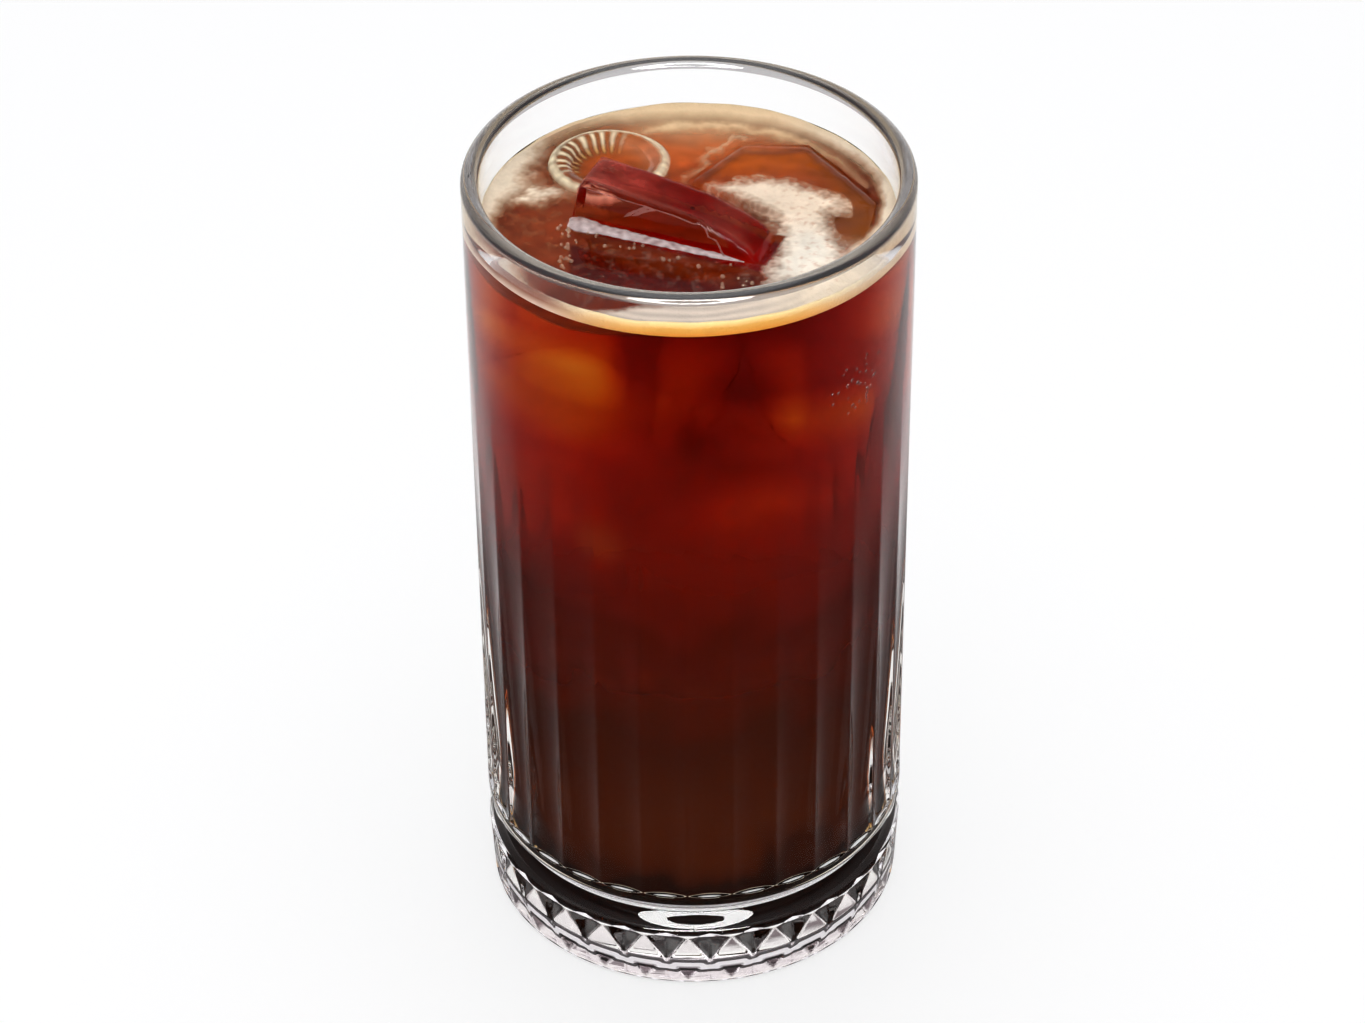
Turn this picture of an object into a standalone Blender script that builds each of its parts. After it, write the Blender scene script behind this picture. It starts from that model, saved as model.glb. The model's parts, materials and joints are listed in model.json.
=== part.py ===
"""Iced black coffee in a tall fluted glass, filled to just below the rim.

The glass is turned, then thirty flutes are pressed into its wall and a row of lozenges into its foot.
The drink fills it to a level top, and three pieces of ice break the surface inside a ring of pale foam.
Lengths are in metres, +Z is up, and the origin is the centre of the foot, on the surface it stands on.
"""
import math

import bmesh
import bpy
from mathutils import Matrix, Vector

MM = 0.001

# Glass
HEIGHT = 150.0 * MM
BODY_RADIUS = 38.1 * MM
RIM_WALL = 3.0 * MM
BORE_RADIUS_TOP = BODY_RADIUS - RIM_WALL
BORE_RADIUS_LOW = 31.0 * MM
FLOOR_Z = 15.5 * MM
FLOOR_FILLET = 5.0 * MM
STEPS_ROUND = 120

# Flutes: hollows side by side that deepen downwards from below the rim and end in a scoop above the foot
FLUTES = 30
FLUTE_HALF_WIDTH = 3.85 * MM
FLUTE_DEPTH = 1.3 * MM
FLUTE_FADE_TOP = 128.0 * MM
FLUTE_FADE_END = 38.0 * MM
FLUTE_FADE_POWER = 1.3
FLUTE_FADE_ROWS = 4
FLUTE_SCOOP_TOP = 22.1 * MM
FLUTE_SCOOP_END = 21.4 * MM
FLUTE_TURN = math.radians(3.8)

# Foot: a cove above a band of lozenges, with a notch between each two
COVE_TOP = 19.4 * MM
COVE_RADIUS = 35.4 * MM
COVE_Z = 16.2 * MM
FOOT_TOP = 12.8 * MM
FOOT_RADIUS = 38.1 * MM
BAND_TOP = 12.0 * MM
BAND_BOTTOM = 0.9 * MM
BAND_MIDDLE_IN = 0.28 * MM
BAND_BOTTOM_IN = 0.53 * MM
NOTCH_DEPTH_UPPER = 1.15 * MM
NOTCH_DEPTH_LOWER = 0.6 * MM
NOTCH_LIP = 0.15 * MM
BEARING_OUTER = 36.4 * MM
BEARING_INNER = 29.5 * MM
PUNT_RADIUS = 28.7 * MM
PUNT_DEPTH = 1.0 * MM

# Drink, foam and ice
GAP = 0.3 * MM
CUT_GAP = 0.36 * MM
LEVEL = 140.9 * MM
DRINK_STEPS = 48
FOAM_STEPS = 72
FOAM_CLIMB = 3.0 * MM
FOAM_CLIMB_WIDTH = 0.5 * MM
FOAM_FOOT_WIDTH = 1.3 * MM
FOAM_FOOT_HEIGHT = 1.2 * MM
FOAM_INNER_HEIGHT = 0.5 * MM
FOAM_DRIFT_AT = math.radians(-28.0)
FOAM_DRIFT_SPREAD = math.radians(26.0)
FOAM_DRIFT = 8.0 * MM
# How far the foam reaches in from the wall, by the angle round the glass; the front is at -90 degrees
FOAM_REACH = ((-180, 2.0), (-125, 1.8), (-110, 5.5), (-90, 9.5), (-50, 9.0), (-20, 5.2), (4, 1.8), (20, 1.4),
              (50, 3.0), (90, 4.5), (125, 1.6), (148, 5.7), (165, 6.4), (173, 2.8), (180, 2.0))

# Ice
BAR_THICKNESS = 9.0 * MM
BAR_OUTLINE_MM = ((-20.6, 123.0), (13.0, 121.0), (16.6, 138.0), (15.9, 140.6), (13.6, 143.2), (9.5, 145.4),
                  (4.6, 147.2), (-15.6, 149.8), (-17.4, 148.2))
BAR_PLACE_MM = (-1.4, -4.9, 0.0)
BAR_TURN = math.radians(-23.0)
BAR_ROUNDING = 1.2 * MM
SLAB_OUTLINE_MM = ((-0.4, 9.8), (5.0, 5.4), (26.0, -8.6), (30.0, -5.6), (32.2, 3.8), (20.6, 21.4), (9.0, 21.4))
SLAB_DEPTH = 19.0 * MM
SLAB_ABOVE_LEVEL = 1.2 * MM
SLAB_TILT = math.radians(1.5)
SLAB_ROUNDING = 1.4 * MM
CUP_PLACE_MM = (-13.4, 17.0, 0.0)
CUP_RADIUS = 10.6 * MM
CUP_LOW_RADIUS = 10.0 * MM
CUP_DEPTH = 21.0 * MM
CUP_EDGE = 1.6 * MM
CUP_ABOVE_LEVEL = 0.9 * MM
# The cup's hollow, as (radius, depth below the top)
CUP_HOLLOW_MM = ((0.0, 4.2), (4.5, 3.2), (6.4, 1.0), (7.3, 0.0))
CUP_STEPS = 32


# ---------------------------------------------------------------- scene

def clear_scene():
    """Remove every object, so the model is all that the file holds."""
    for obj in list(bpy.context.scene.objects):
        bpy.data.objects.remove(obj, do_unlink=True)


def new_collection(name):
    """A collection of its own under the scene."""
    collection = bpy.data.collections.new(name)
    bpy.context.scene.collection.children.link(collection)
    return collection


def new_material(name, colour, roughness, transmission=0.0, ior=1.5):
    """A plain Principled material."""
    material = bpy.data.materials.new(name)
    material.use_nodes = True
    shader = material.node_tree.nodes["Principled BSDF"]
    shader.inputs["Base Color"].default_value = (*colour, 1.0)
    shader.inputs["Roughness"].default_value = roughness
    shader.inputs["Metallic"].default_value = 0.0
    shader.inputs["Transmission Weight"].default_value = transmission
    shader.inputs["IOR"].default_value = ior
    return material


def add_object(name, mesh, collection, material=None):
    """Link a mesh as one named object."""
    obj = bpy.data.objects.new(name, mesh)
    collection.objects.link(obj)
    if material is not None:
        mesh.materials.clear()
        mesh.materials.append(material)
    return obj


def shade(mesh, angle_degrees):
    """Smooth shading that stays crisp along edges sharper than the angle."""
    mesh.shade_smooth()
    mesh.set_sharp_from_angle(angle=math.radians(angle_degrees))


def applied(obj):
    """The object's mesh with its modifiers carried out; the object is removed."""
    depsgraph = bpy.context.evaluated_depsgraph_get()
    mesh = bpy.data.meshes.new_from_object(obj.evaluated_get(depsgraph))
    bpy.data.objects.remove(obj, do_unlink=True)
    return mesh


# ---------------------------------------------------------------- turned shapes

def arc(centre, radius, start_degrees, end_degrees, steps):
    """Points (r, z) along an arc, both ends included."""
    points = []
    for i in range(steps + 1):
        angle = math.radians(start_degrees + (end_degrees - start_degrees) * i / steps)
        points.append((centre[0] + radius * math.cos(angle), centre[1] + radius * math.sin(angle)))
    return points


def turned(name, profile, steps, collection):
    """Turn a profile of (r, z) points about Z; it starts and ends on the axis and runs down outside."""
    mesh = bpy.data.meshes.new(name)
    edges = [(i, i + 1) for i in range(len(profile) - 1)]
    mesh.from_pydata([(r, 0.0, z) for r, z in profile], edges, [])
    obj = add_object(name, mesh, collection)
    screw = obj.modifiers.new("Turn", "SCREW")
    screw.steps = steps
    screw.render_steps = steps
    screw.use_merge_vertices = True
    screw.merge_threshold = 0.00001
    return obj


# ---------------------------------------------------------------- glass

def bore_radius(z):
    """The cavity narrows towards the floor, where the wall is thickest."""
    share = (z - FLOOR_Z) / (HEIGHT - FLOOR_Z)
    return BORE_RADIUS_LOW + (BORE_RADIUS_TOP - BORE_RADIUS_LOW) * share


def glass_profile():
    """From the middle of the cavity's floor, up the bore, over the rim, down outside and in below."""
    fillet_z = FLOOR_Z + FLOOR_FILLET
    fillet_r = bore_radius(fillet_z) - FLOOR_FILLET
    rim_radius = RIM_WALL / 2
    rim_z = HEIGHT - rim_radius
    rim_r = BODY_RADIUS - rim_radius
    band_middle = (BAND_TOP + BAND_BOTTOM) / 2
    band_quarter = (BAND_TOP - BAND_BOTTOM) / 4
    profile = [(0.0, FLOOR_Z)]
    profile += arc((fillet_r, fillet_z), FLOOR_FILLET, -90, 0, 3)
    profile += arc((rim_r, rim_z), rim_radius, 180, 0, 4)
    fade_height = FLUTE_FADE_TOP - FLUTE_FADE_END
    profile += [(BODY_RADIUS, FLUTE_FADE_TOP - fade_height * i / FLUTE_FADE_ROWS) for i in range(FLUTE_FADE_ROWS + 1)]
    profile += [(BODY_RADIUS, FLUTE_SCOOP_TOP), (BODY_RADIUS, FLUTE_SCOOP_END), (BODY_RADIUS, COVE_TOP)]
    profile += [(COVE_RADIUS, COVE_Z + GAP), (COVE_RADIUS, COVE_Z - GAP)]
    profile += [(FOOT_RADIUS, FOOT_TOP), (FOOT_RADIUS, BAND_TOP), (FOOT_RADIUS, BAND_TOP - NOTCH_LIP)]
    profile += [(FOOT_RADIUS, band_middle + band_quarter), (FOOT_RADIUS, band_middle)]
    profile += [(FOOT_RADIUS, band_middle - band_quarter), (FOOT_RADIUS, BAND_BOTTOM)]
    profile += [(BEARING_OUTER, 0.0), (BEARING_INNER, 0.0)]
    profile += [(PUNT_RADIUS, PUNT_DEPTH), (0.0, PUNT_DEPTH)]
    return profile


def share_of(value, start, end):
    """0 up to start and 1 past end, evenly between them; start may be above end."""
    return min(max((value - start) / (end - start), 0.0), 1.0)


def flute_cut(across, z):
    """How far a flute lies below the body, from the angle off the nearest ridge and the height."""
    pitch = 2 * math.pi / FLUTES
    from_valley = (pitch / 2 - across) * BODY_RADIUS
    hollow = max(0.0, 1.0 - (from_valley / FLUTE_HALF_WIDTH) ** 2)
    fade = share_of(z, FLUTE_FADE_TOP, FLUTE_FADE_END) ** FLUTE_FADE_POWER
    fade *= share_of(z, FLUTE_SCOOP_END, FLUTE_SCOOP_TOP)
    return FLUTE_DEPTH * hollow * fade


def lozenge_place(across, z):
    """1 along a lozenge's edge, less inside it and up to 2 in the middle of a notch's open side."""
    top = BAND_TOP - NOTCH_LIP
    middle = (BAND_TOP + BAND_BOTTOM) / 2
    half_height = top - middle if z > middle else middle - BAND_BOTTOM
    return across / (math.pi / FLUTES) + min(abs(z - middle) / half_height, 1.0)


def foot_cut(across, z):
    """Lozenges draw in a little downwards, and the notches between them are V-shaped."""
    if z > BAND_TOP - NOTCH_LIP / 2 or z < BAND_BOTTOM - NOTCH_LIP / 2:
        return 0.0
    middle = (BAND_TOP + BAND_BOTTOM) / 2
    drawn_in = BAND_MIDDLE_IN * share_of(z, BAND_TOP, middle)
    drawn_in += (BAND_BOTTOM_IN - BAND_MIDDLE_IN) * share_of(z, middle, BAND_BOTTOM)
    depth = NOTCH_DEPTH_UPPER if z > middle else NOTCH_DEPTH_LOWER
    return drawn_in + depth * max(0.0, lozenge_place(across, z) - 1.0)


def off_ridge(vertex):
    """A vertex's angle from the nearest flute ridge, which is also a lozenge's middle line."""
    pitch = 2 * math.pi / FLUTES
    angle = math.atan2(vertex.y, vertex.x) % pitch
    return min(angle, pitch - angle)


def press_pattern(mesh):
    """Move the outer wall's vertices in by the depth of the pattern, and split the foot's quads along it."""
    shape = bmesh.new()
    shape.from_mesh(mesh)
    outer = [v for v in shape.verts if v.co.xy.length > BODY_RADIUS - GAP and v.co.z < HEIGHT - RIM_WALL]
    for vertex in outer:
        across = off_ridge(vertex.co)
        cut = flute_cut(across, vertex.co.z) if vertex.co.z > COVE_Z else foot_cut(across, vertex.co.z)
        vertex.co.xy *= 1.0 - cut / vertex.co.xy.length
    band = range_of(BAND_BOTTOM, BAND_TOP - NOTCH_LIP)
    for face in list(shape.faces):
        if face in shape.faces and len(face.verts) == 4 and all(band(v.co) for v in face.verts):
            split_along_lozenge(face)
    shape.to_mesh(mesh)
    shape.free()


def range_of(low, high):
    """A test for points on the outer wall between two heights."""
    slack = 0.01 * MM
    inner = BEARING_OUTER - NOTCH_DEPTH_UPPER
    return lambda point: low - slack < point.z < high + slack and point.xy.length > inner


def split_along_lozenge(face):
    """Cut a quad of the foot between the two opposite corners that lie equally far from a lozenge's middle."""
    corners = list(face.verts)
    place = [lozenge_place(off_ridge(v.co), v.co.z) for v in corners]
    first = 0 if abs(place[0] - place[2]) < abs(place[1] - place[3]) else 1
    bmesh.utils.face_split(face, corners[first], corners[first + 2])


def build_glass(collection, cutters):
    """A turned blank with the pattern pressed into it."""
    blank = turned("glass_blank", glass_profile(), STEPS_ROUND, cutters)
    mesh = applied(blank)
    press_pattern(mesh)
    mesh.transform(Matrix.Rotation(FLUTE_TURN, 4, "Z"))
    shade(mesh, 30)
    material = new_material("clear_glass", (0.96, 0.98, 0.97), 0.02, transmission=1.0, ior=1.5)
    mesh.name = "glass"
    return add_object("glass", mesh, collection, material)


# ---------------------------------------------------------------- ice

def ice_block(name, outline, thickness, place, rounding, collection, material):
    """A block: a flat outline given its thickness on both sides, turned into place, with melted edges."""
    mesh = bpy.data.meshes.new(name)
    shape = bmesh.new()
    face = shape.faces.new([shape.verts.new((x, y, -thickness / 2)) for x, y in outline])
    raised = bmesh.ops.extrude_face_region(shape, geom=[face])["geom"]
    moved = [part for part in raised if isinstance(part, bmesh.types.BMVert)]
    bmesh.ops.translate(shape, verts=moved, vec=(0.0, 0.0, thickness))
    bmesh.ops.recalc_face_normals(shape, faces=shape.faces)
    bmesh.ops.bevel(shape, geom=list(shape.edges), offset=rounding, segments=2, affect="EDGES", profile=0.5)
    bmesh.ops.transform(shape, matrix=place, verts=shape.verts)
    shape.to_mesh(mesh)
    shape.free()
    shade(mesh, 40)
    return add_object(name, mesh, collection, material)


def build_front_ice(collection, material):
    """The bar that stands out most: its left end lifts out of the drink and its right end slopes under."""
    points = [(x * MM, z * MM) for x, z in BAR_OUTLINE_MM]
    turn = Matrix.Rotation(BAR_TURN, 4, "Z") @ Matrix.Rotation(math.pi / 2, 4, "X")
    place = Matrix.Translation(Vector(BAR_PLACE_MM) * MM) @ turn
    return ice_block("ice_front", points, BAR_THICKNESS, place, BAR_ROUNDING, collection, material)


def build_right_ice(collection, material):
    """A broad flat piece, level with the surface, that reaches almost to the wall."""
    points = [(x * MM, y * MM) for x, y in SLAB_OUTLINE_MM]
    middle = LEVEL + SLAB_ABOVE_LEVEL - SLAB_DEPTH / 2
    place = Matrix.Translation((0.0, 0.0, middle)) @ Matrix.Rotation(SLAB_TILT, 4, "Y")
    return ice_block("ice_right", points, SLAB_DEPTH, place, SLAB_ROUNDING, collection, material)


def build_hollow_ice(collection, material):
    """A round piece with a cupped top, as ice frozen from the outside in has."""
    top = LEVEL + CUP_ABOVE_LEVEL
    profile = [(r * MM, top - depth * MM) for r, depth in CUP_HOLLOW_MM]
    profile += arc((CUP_RADIUS - CUP_EDGE, top - CUP_EDGE), CUP_EDGE, 90, 0, 3)
    profile += [(CUP_LOW_RADIUS, top - CUP_DEPTH + CUP_EDGE), (CUP_LOW_RADIUS - CUP_EDGE, top - CUP_DEPTH)]
    profile += [(0.0, top - CUP_DEPTH)]
    blank = turned("ice_hollow_blank", profile, CUP_STEPS, collection)
    mesh = applied(blank)
    mesh.transform(Matrix.Translation(Vector(CUP_PLACE_MM) * MM))
    shade(mesh, 40)
    mesh.name = "ice_hollow"
    return add_object("ice_hollow", mesh, collection, material)


def build_ice(collection):
    """The pieces that break the surface."""
    material = new_material("clear_ice", (0.93, 0.96, 0.98), 0.04, transmission=1.0, ior=1.31)
    return [build_front_ice(collection, material),
            build_right_ice(collection, material),
            build_hollow_ice(collection, material)]


def hull_of(source):
    """The convex outer shape of a mesh, with any cup or hollow filled."""
    shape = bmesh.new()
    shape.from_mesh(source)
    result = bmesh.ops.convex_hull(shape, input=shape.verts)
    spare = set(result["geom_interior"]) | set(result["geom_unused"])
    bmesh.ops.delete(shape, geom=[part for part in spare if isinstance(part, bmesh.types.BMVert)], context="VERTS")
    held = {face for face in result["geom"] if isinstance(face, bmesh.types.BMFace)}
    bmesh.ops.delete(shape, geom=[face for face in shape.faces if face not in held], context="FACES_ONLY")
    bmesh.ops.recalc_face_normals(shape, faces=shape.faces)
    hull = bpy.data.meshes.new(source.name + "_hull")
    shape.to_mesh(hull)
    shape.free()
    return hull


def pocket_cutters(pieces, cutters):
    """A slightly larger hull of each piece of ice, which leaves its gap when cut from what surrounds it."""
    group = bpy.data.collections.new("ice_pockets")
    cutters.children.link(group)
    for piece in pieces:
        pocket = add_object(piece.name + "_pocket", hull_of(piece.data), group)
        swell = pocket.modifiers.new("Clearance", "DISPLACE")
        swell.strength = CUT_GAP
        swell.mid_level = 0.0
        pocket.hide_render = True
        pocket.display_type = "WIRE"
    return group


def cut_round(obj, group):
    """Take the pockets out of an object and keep the result as its own mesh."""
    cut = obj.modifiers.new("Ice pockets", "BOOLEAN")
    cut.operation = "DIFFERENCE"
    cut.operand_type = "COLLECTION"
    cut.collection = group
    cut.solver = "EXACT"


# ---------------------------------------------------------------- drink and foam

def build_coffee(collection, pockets):
    """The drink: all of the cavity up to the level, less the ice."""
    low = FLOOR_Z + GAP
    fillet_z = FLOOR_Z + FLOOR_FILLET
    fillet_r = bore_radius(fillet_z) - FLOOR_FILLET
    profile = [(0.0, LEVEL), (bore_radius(LEVEL) - GAP, LEVEL)]
    profile += arc((fillet_r, fillet_z), FLOOR_FILLET - GAP, 0, -90, 3)
    profile += [(0.0, low)]
    obj = turned("coffee", profile, DRINK_STEPS, collection)
    material = new_material("black_coffee", (0.10, 0.02, 0.006), 0.03, transmission=0.6, ior=1.33)
    obj.data.materials.append(material)
    cut_round(obj, pockets)
    return obj


def foam_inner_radius(angle, outer):
    """The foam is a ring that widens in front and drifts far in between the bar and the flat ice."""
    degrees = math.degrees(math.remainder(angle, 2 * math.pi))
    for (before, near), (after, far) in zip(FOAM_REACH, FOAM_REACH[1:]):
        if before <= degrees <= after:
            reach = (near + (far - near) * (degrees - before) / (after - before)) * MM
    off_drift = math.remainder(angle - FOAM_DRIFT_AT, 2 * math.pi)
    return outer - reach - FOAM_DRIFT * math.exp(-(off_drift / FOAM_DRIFT_SPREAD) ** 2)


def build_foam(collection, pockets):
    """A thin ring that lies on the drink: it climbs the wall and thins out to its inner edge."""
    low = LEVEL + GAP
    outer = bore_radius(LEVEL) - GAP
    shape = bmesh.new()
    rings = []
    for i in range(FOAM_STEPS):
        angle = 2 * math.pi * i / FOAM_STEPS
        inner = foam_inner_radius(angle, outer)
        section = [(outer, low), (outer, low + FOAM_CLIMB), (outer - FOAM_CLIMB_WIDTH, low + FOAM_CLIMB),
                   (outer - FOAM_FOOT_WIDTH, low + FOAM_FOOT_HEIGHT), (inner, low + FOAM_INNER_HEIGHT), (inner, low)]
        rings.append([shape.verts.new((r * math.cos(angle), r * math.sin(angle), z)) for r, z in section])
    for ring, following in zip(rings, rings[1:] + rings[:1]):
        for k in range(len(ring)):
            nxt = (k + 1) % len(ring)
            shape.faces.new((ring[k], following[k], following[nxt], ring[nxt]))
    bmesh.ops.recalc_face_normals(shape, faces=shape.faces)
    mesh = bpy.data.meshes.new("foam")
    shape.to_mesh(mesh)
    shape.free()
    material = new_material("coffee_foam", (0.80, 0.66, 0.46), 0.5)
    obj = add_object("foam", mesh, collection, material)
    cut_round(obj, pockets)
    return obj


def main():
    """Build the six nodes: the glass, the drink in it, its foam and the three pieces of ice."""
    clear_scene()
    drink = new_collection("iced_coffee")
    cutters = new_collection("cutters")
    build_glass(drink, cutters)
    pieces = build_ice(drink)
    pockets = pocket_cutters(pieces, cutters)
    build_coffee(drink, pockets)
    build_foam(drink, pockets)


main()
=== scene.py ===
"""Iced black coffee in a tall fluted glass: the surfaces, materials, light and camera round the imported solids.

Shapes are worked out in mm and made in metres. -Y faces the camera, and the glass stands at the origin.
"""

import json
import math

import bmesh
import bpy
import numpy as np
from mathutils import Euler, Matrix, Vector, noise

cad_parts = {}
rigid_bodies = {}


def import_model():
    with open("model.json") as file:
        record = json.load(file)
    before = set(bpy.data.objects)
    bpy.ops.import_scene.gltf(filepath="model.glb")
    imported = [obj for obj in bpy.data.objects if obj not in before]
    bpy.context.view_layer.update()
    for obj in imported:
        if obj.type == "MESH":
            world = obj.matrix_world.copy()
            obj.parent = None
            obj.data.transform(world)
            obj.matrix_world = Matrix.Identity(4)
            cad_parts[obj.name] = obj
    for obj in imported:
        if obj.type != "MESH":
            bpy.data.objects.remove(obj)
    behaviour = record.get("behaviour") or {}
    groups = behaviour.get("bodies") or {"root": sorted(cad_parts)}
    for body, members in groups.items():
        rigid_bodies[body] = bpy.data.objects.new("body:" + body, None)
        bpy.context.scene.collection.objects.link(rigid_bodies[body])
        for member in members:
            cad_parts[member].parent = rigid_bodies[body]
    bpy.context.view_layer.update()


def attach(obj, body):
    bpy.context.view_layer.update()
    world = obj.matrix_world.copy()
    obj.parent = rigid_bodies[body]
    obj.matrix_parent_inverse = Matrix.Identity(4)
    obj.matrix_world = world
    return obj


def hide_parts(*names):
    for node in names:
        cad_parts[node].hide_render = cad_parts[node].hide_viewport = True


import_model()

# ---------------------------------------------------------------- glass
# The tall glass is one heavy piece of clear pressed glass: a tapered bore, thirty flutes that fade out upwards,
# a cut foot with a row of lozenges and a shallow hollow underneath. It is one closed turned surface, from the
# middle of the bore's floor up the bore, over the rim, down the outside and in below.
LEVEL = 140.9  # height of the drink
HEIGHT, BODY, RIM = 150.0, 38.1, 1.5
FLOOR_Z, FILLET = 15.5, 1.6
BORE_TOP, BORE_LOW = 35.1, 31.0
FLUTES, FLUTE_COLUMNS, FLUTE_TURN = 30, 20, math.radians(3.8)
FLUTE_FOOT, FLUTE_TOP, FLUTE_FADE = 21.4, 119.0, 81.0
FLUTE_DEPTH, FLUTE_HALF_WIDTH = 1.3, 3.85
BAND_TOP, BAND_FOOT, BAND_ROWS = 11.85, 0.9, 25
FACET_DEPTH, NOTCH_SLOPE_ABOVE, NOTCH_SLOPE_BELOW = 0.28, 1.15, 0.6
PUNT, PUNT_R, PUNT_EDGE = 1.0, 28.7, 0.8
# top of the painted shade wedges on the foot
SHADE_WEDGE_TOP = 4.5
CLEAR, GLASS_BEND, WATER_BEND = (1, 1, 1), 1.5, 1.33


def surface_of(material):
    """The shader that holds a material's finish."""
    return material.node_tree.nodes["Principled BSDF"]


def plain_material(name, colour, roughness, transmission=0.0, bend=1.5):
    """A material with its plain values set on the shader's own sockets."""
    material = bpy.data.materials.new(name)
    material.use_nodes = True
    shader = surface_of(material)
    shader.inputs["Base Color"].default_value = (*colour, 1.0)
    shader.inputs["Roughness"].default_value = roughness
    shader.inputs["Metallic"].default_value = 0.0
    shader.inputs["Transmission Weight"].default_value = transmission
    shader.inputs["IOR"].default_value = bend
    return material


def read_from_mesh(material, attribute, outputs):
    """Feed sockets of a material from an attribute of the mesh, each by the output named for it."""
    node = material.node_tree.nodes.new("ShaderNodeAttribute")
    node.attribute_name = attribute
    for socket, output in outputs.items():
        material.node_tree.links.new(node.outputs[output], surface_of(material).inputs[socket])


def mesh_of(name, points, *faces, smooth=True):
    """A mesh in metres from an array of points in mm and one or more arrays of faces."""
    mesh = bpy.data.meshes.new(name)
    mesh.from_pydata((np.asarray(points) / 1000).tolist(), [], [face for part in faces for face in part.tolist()])
    mesh.update()
    if smooth:
        mesh.shade_smooth()
    return mesh


def values_of(items, what):
    """The three numbers that a mesh keeps for each of its points or faces, as an array of rows."""
    values = np.empty(len(items) * 3)
    items.foreach_get(what, values)
    return values.reshape(-1, 3)


def paint(mesh, name, colours, cover):
    """Put a colour and a cover on each point of a mesh."""
    values = np.concatenate([colours, cover[..., None]], -1)
    layer = mesh.color_attributes.new(name, "FLOAT_COLOR", "POINT")
    layer.data.foreach_set("color", np.ascontiguousarray(values, dtype=np.float32).ravel())


def add_piece(name, mesh, slot, *materials):
    """Link a mesh as a piece of the drink that rides on the one body."""
    piece = bpy.data.objects.new(name, mesh)
    bpy.context.scene.collection.objects.link(piece)
    for material in materials:
        mesh.materials.append(material)
    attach(piece, "root")
    return piece


def ramp(value, start, end):
    """0 before the start, 1 after the end and s s (3 - 2 s) for the share s of the way between them."""
    share = np.clip((value - start) / (end - start), 0.0, 1.0)
    return share * share * (3 - 2 * share)


def tinted(colours, *coats):
    """Colours moved towards each coat's colour in turn, by the coat's mask m: colour (1 - m) + coat m."""
    for mask, coat in coats:
        mask = np.clip(mask, 0, 1)[..., None]
        colours = np.asarray(colours) * (1 - mask) + np.asarray(coat) * mask
    return colours


def arc(centre_r, centre_z, radius, start, end, steps):
    """Profile points (r, z) on an arc between two angles in degrees, both ends included."""
    angles = np.radians(np.linspace(start, end, steps + 1))
    return [(centre_r + radius * math.cos(a), centre_z + radius * math.sin(a)) for a in angles]


def eased(corners, steps):
    """A profile through (r, z, ease) corners, each rounded by a quadratic curve that starts an ease before it."""
    line = []
    for before, corner, after in zip(corners, corners[1:], corners[2:]):
        here = np.array(corner[:2])
        back, on = np.array(before[:2]) - here, np.array(after[:2]) - here
        start = here + back / np.linalg.norm(back) * corner[2]
        end = here + on / np.linalg.norm(on) * corner[2]
        for t in np.linspace(0, 1, steps + 1):
            line.append(tuple((1 - t) ** 2 * start + 2 * t * (1 - t) * here + t * t * end))
    return line + [corners[-1][:2]]


def quads_between(rows, columns, round_again=True):
    """Quads that join each two neighbouring rows of a grid listed row by row, round to its first column or not."""
    i, j = np.meshgrid(np.arange(rows - 1), np.arange(columns if round_again else columns - 1), indexing="ij")
    k = (j + 1) % columns
    corners = [i * columns + j, (i + 1) * columns + j, (i + 1) * columns + k, i * columns + k]
    return np.stack(corners, -1).reshape(-1, 4)


def turned(grid):
    """Points and faces of a closed body from a grid of rows that each go once round the upright axis. Rows are
    joined by quads. The first and last rows lie on the axis: each is one point with a fan of triangles."""
    rows, columns = grid.shape[:2]
    points = np.concatenate([grid[0, :1], grid[1:-1].reshape(-1, 3), grid[-1, :1]])
    j = np.arange(columns)
    k = (j + 1) % columns
    last = len(points) - 1
    first_fan = np.stack([0 * j, 1 + j, 1 + k], -1)
    last_fan = np.stack([last - columns + j, last + 0 * j, last - columns + k], -1)
    return points, first_fan, quads_between(rows - 2, columns) + 1, last_fan


def bore_radius(z):
    """The bore narrows evenly from the rim to its floor."""
    return BORE_LOW + (BORE_TOP - BORE_LOW) * (z - FLOOR_Z) / (HEIGHT - FLOOR_Z)


fillet_r = bore_radius(FLOOR_Z + FILLET) - FILLET
profile = [(r, FLOOR_Z) for r in (0.0, 8.0, 16.0, 24.0)]
profile += arc(fillet_r, FLOOR_Z + FILLET, FILLET, -90, 0, 8)
profile += [(bore_radius(z), z) for z in (40.0, 60.0, 80.0, 100.0, 120.0, 135.0, LEVEL + 1.0, 144.0)]
profile += arc(BODY - RIM, HEIGHT - RIM, RIM, 180, 0, 14)
profile += [(BODY, z) for z in (*np.linspace(145.0, 134.0, 4), *np.linspace(131.0, 26.0, 36), 24.6, 23.4, 22.5,
                                *np.linspace(21.95, FLUTE_FOOT, 9), 21.1)]
# the ring under the flutes, the hollow shoulder and the edge of the foot
profile += eased([(BODY, 20.4), (BODY, 19.4, 0.5), (35.5, 16.5, 0.35), (35.5, 16.1)], 3)
profile += arc(30.82, 10.69, 7.18, 49.2, 17.0, 10)
profile += [(BODY, 12.35), (BODY, 12.1)]
band_start = len(profile)
profile += [(BODY, z) for z in (11.95, *np.linspace(BAND_TOP, BAND_FOOT, BAND_ROWS))]
profile += [(37.5, 0.45), (36.7, 0.08), (36.3, 0.0), (33.0, 0.0), (30.5, 0.0)]
profile += [(r, PUNT * (1 - max(0.0, (r - PUNT_R) / PUNT_EDGE) ** 2))
            for r in (*np.linspace(29.5, PUNT_R, 6), *np.linspace(27.0, 0.0, 14))]
profile = np.array(profile)

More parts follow.
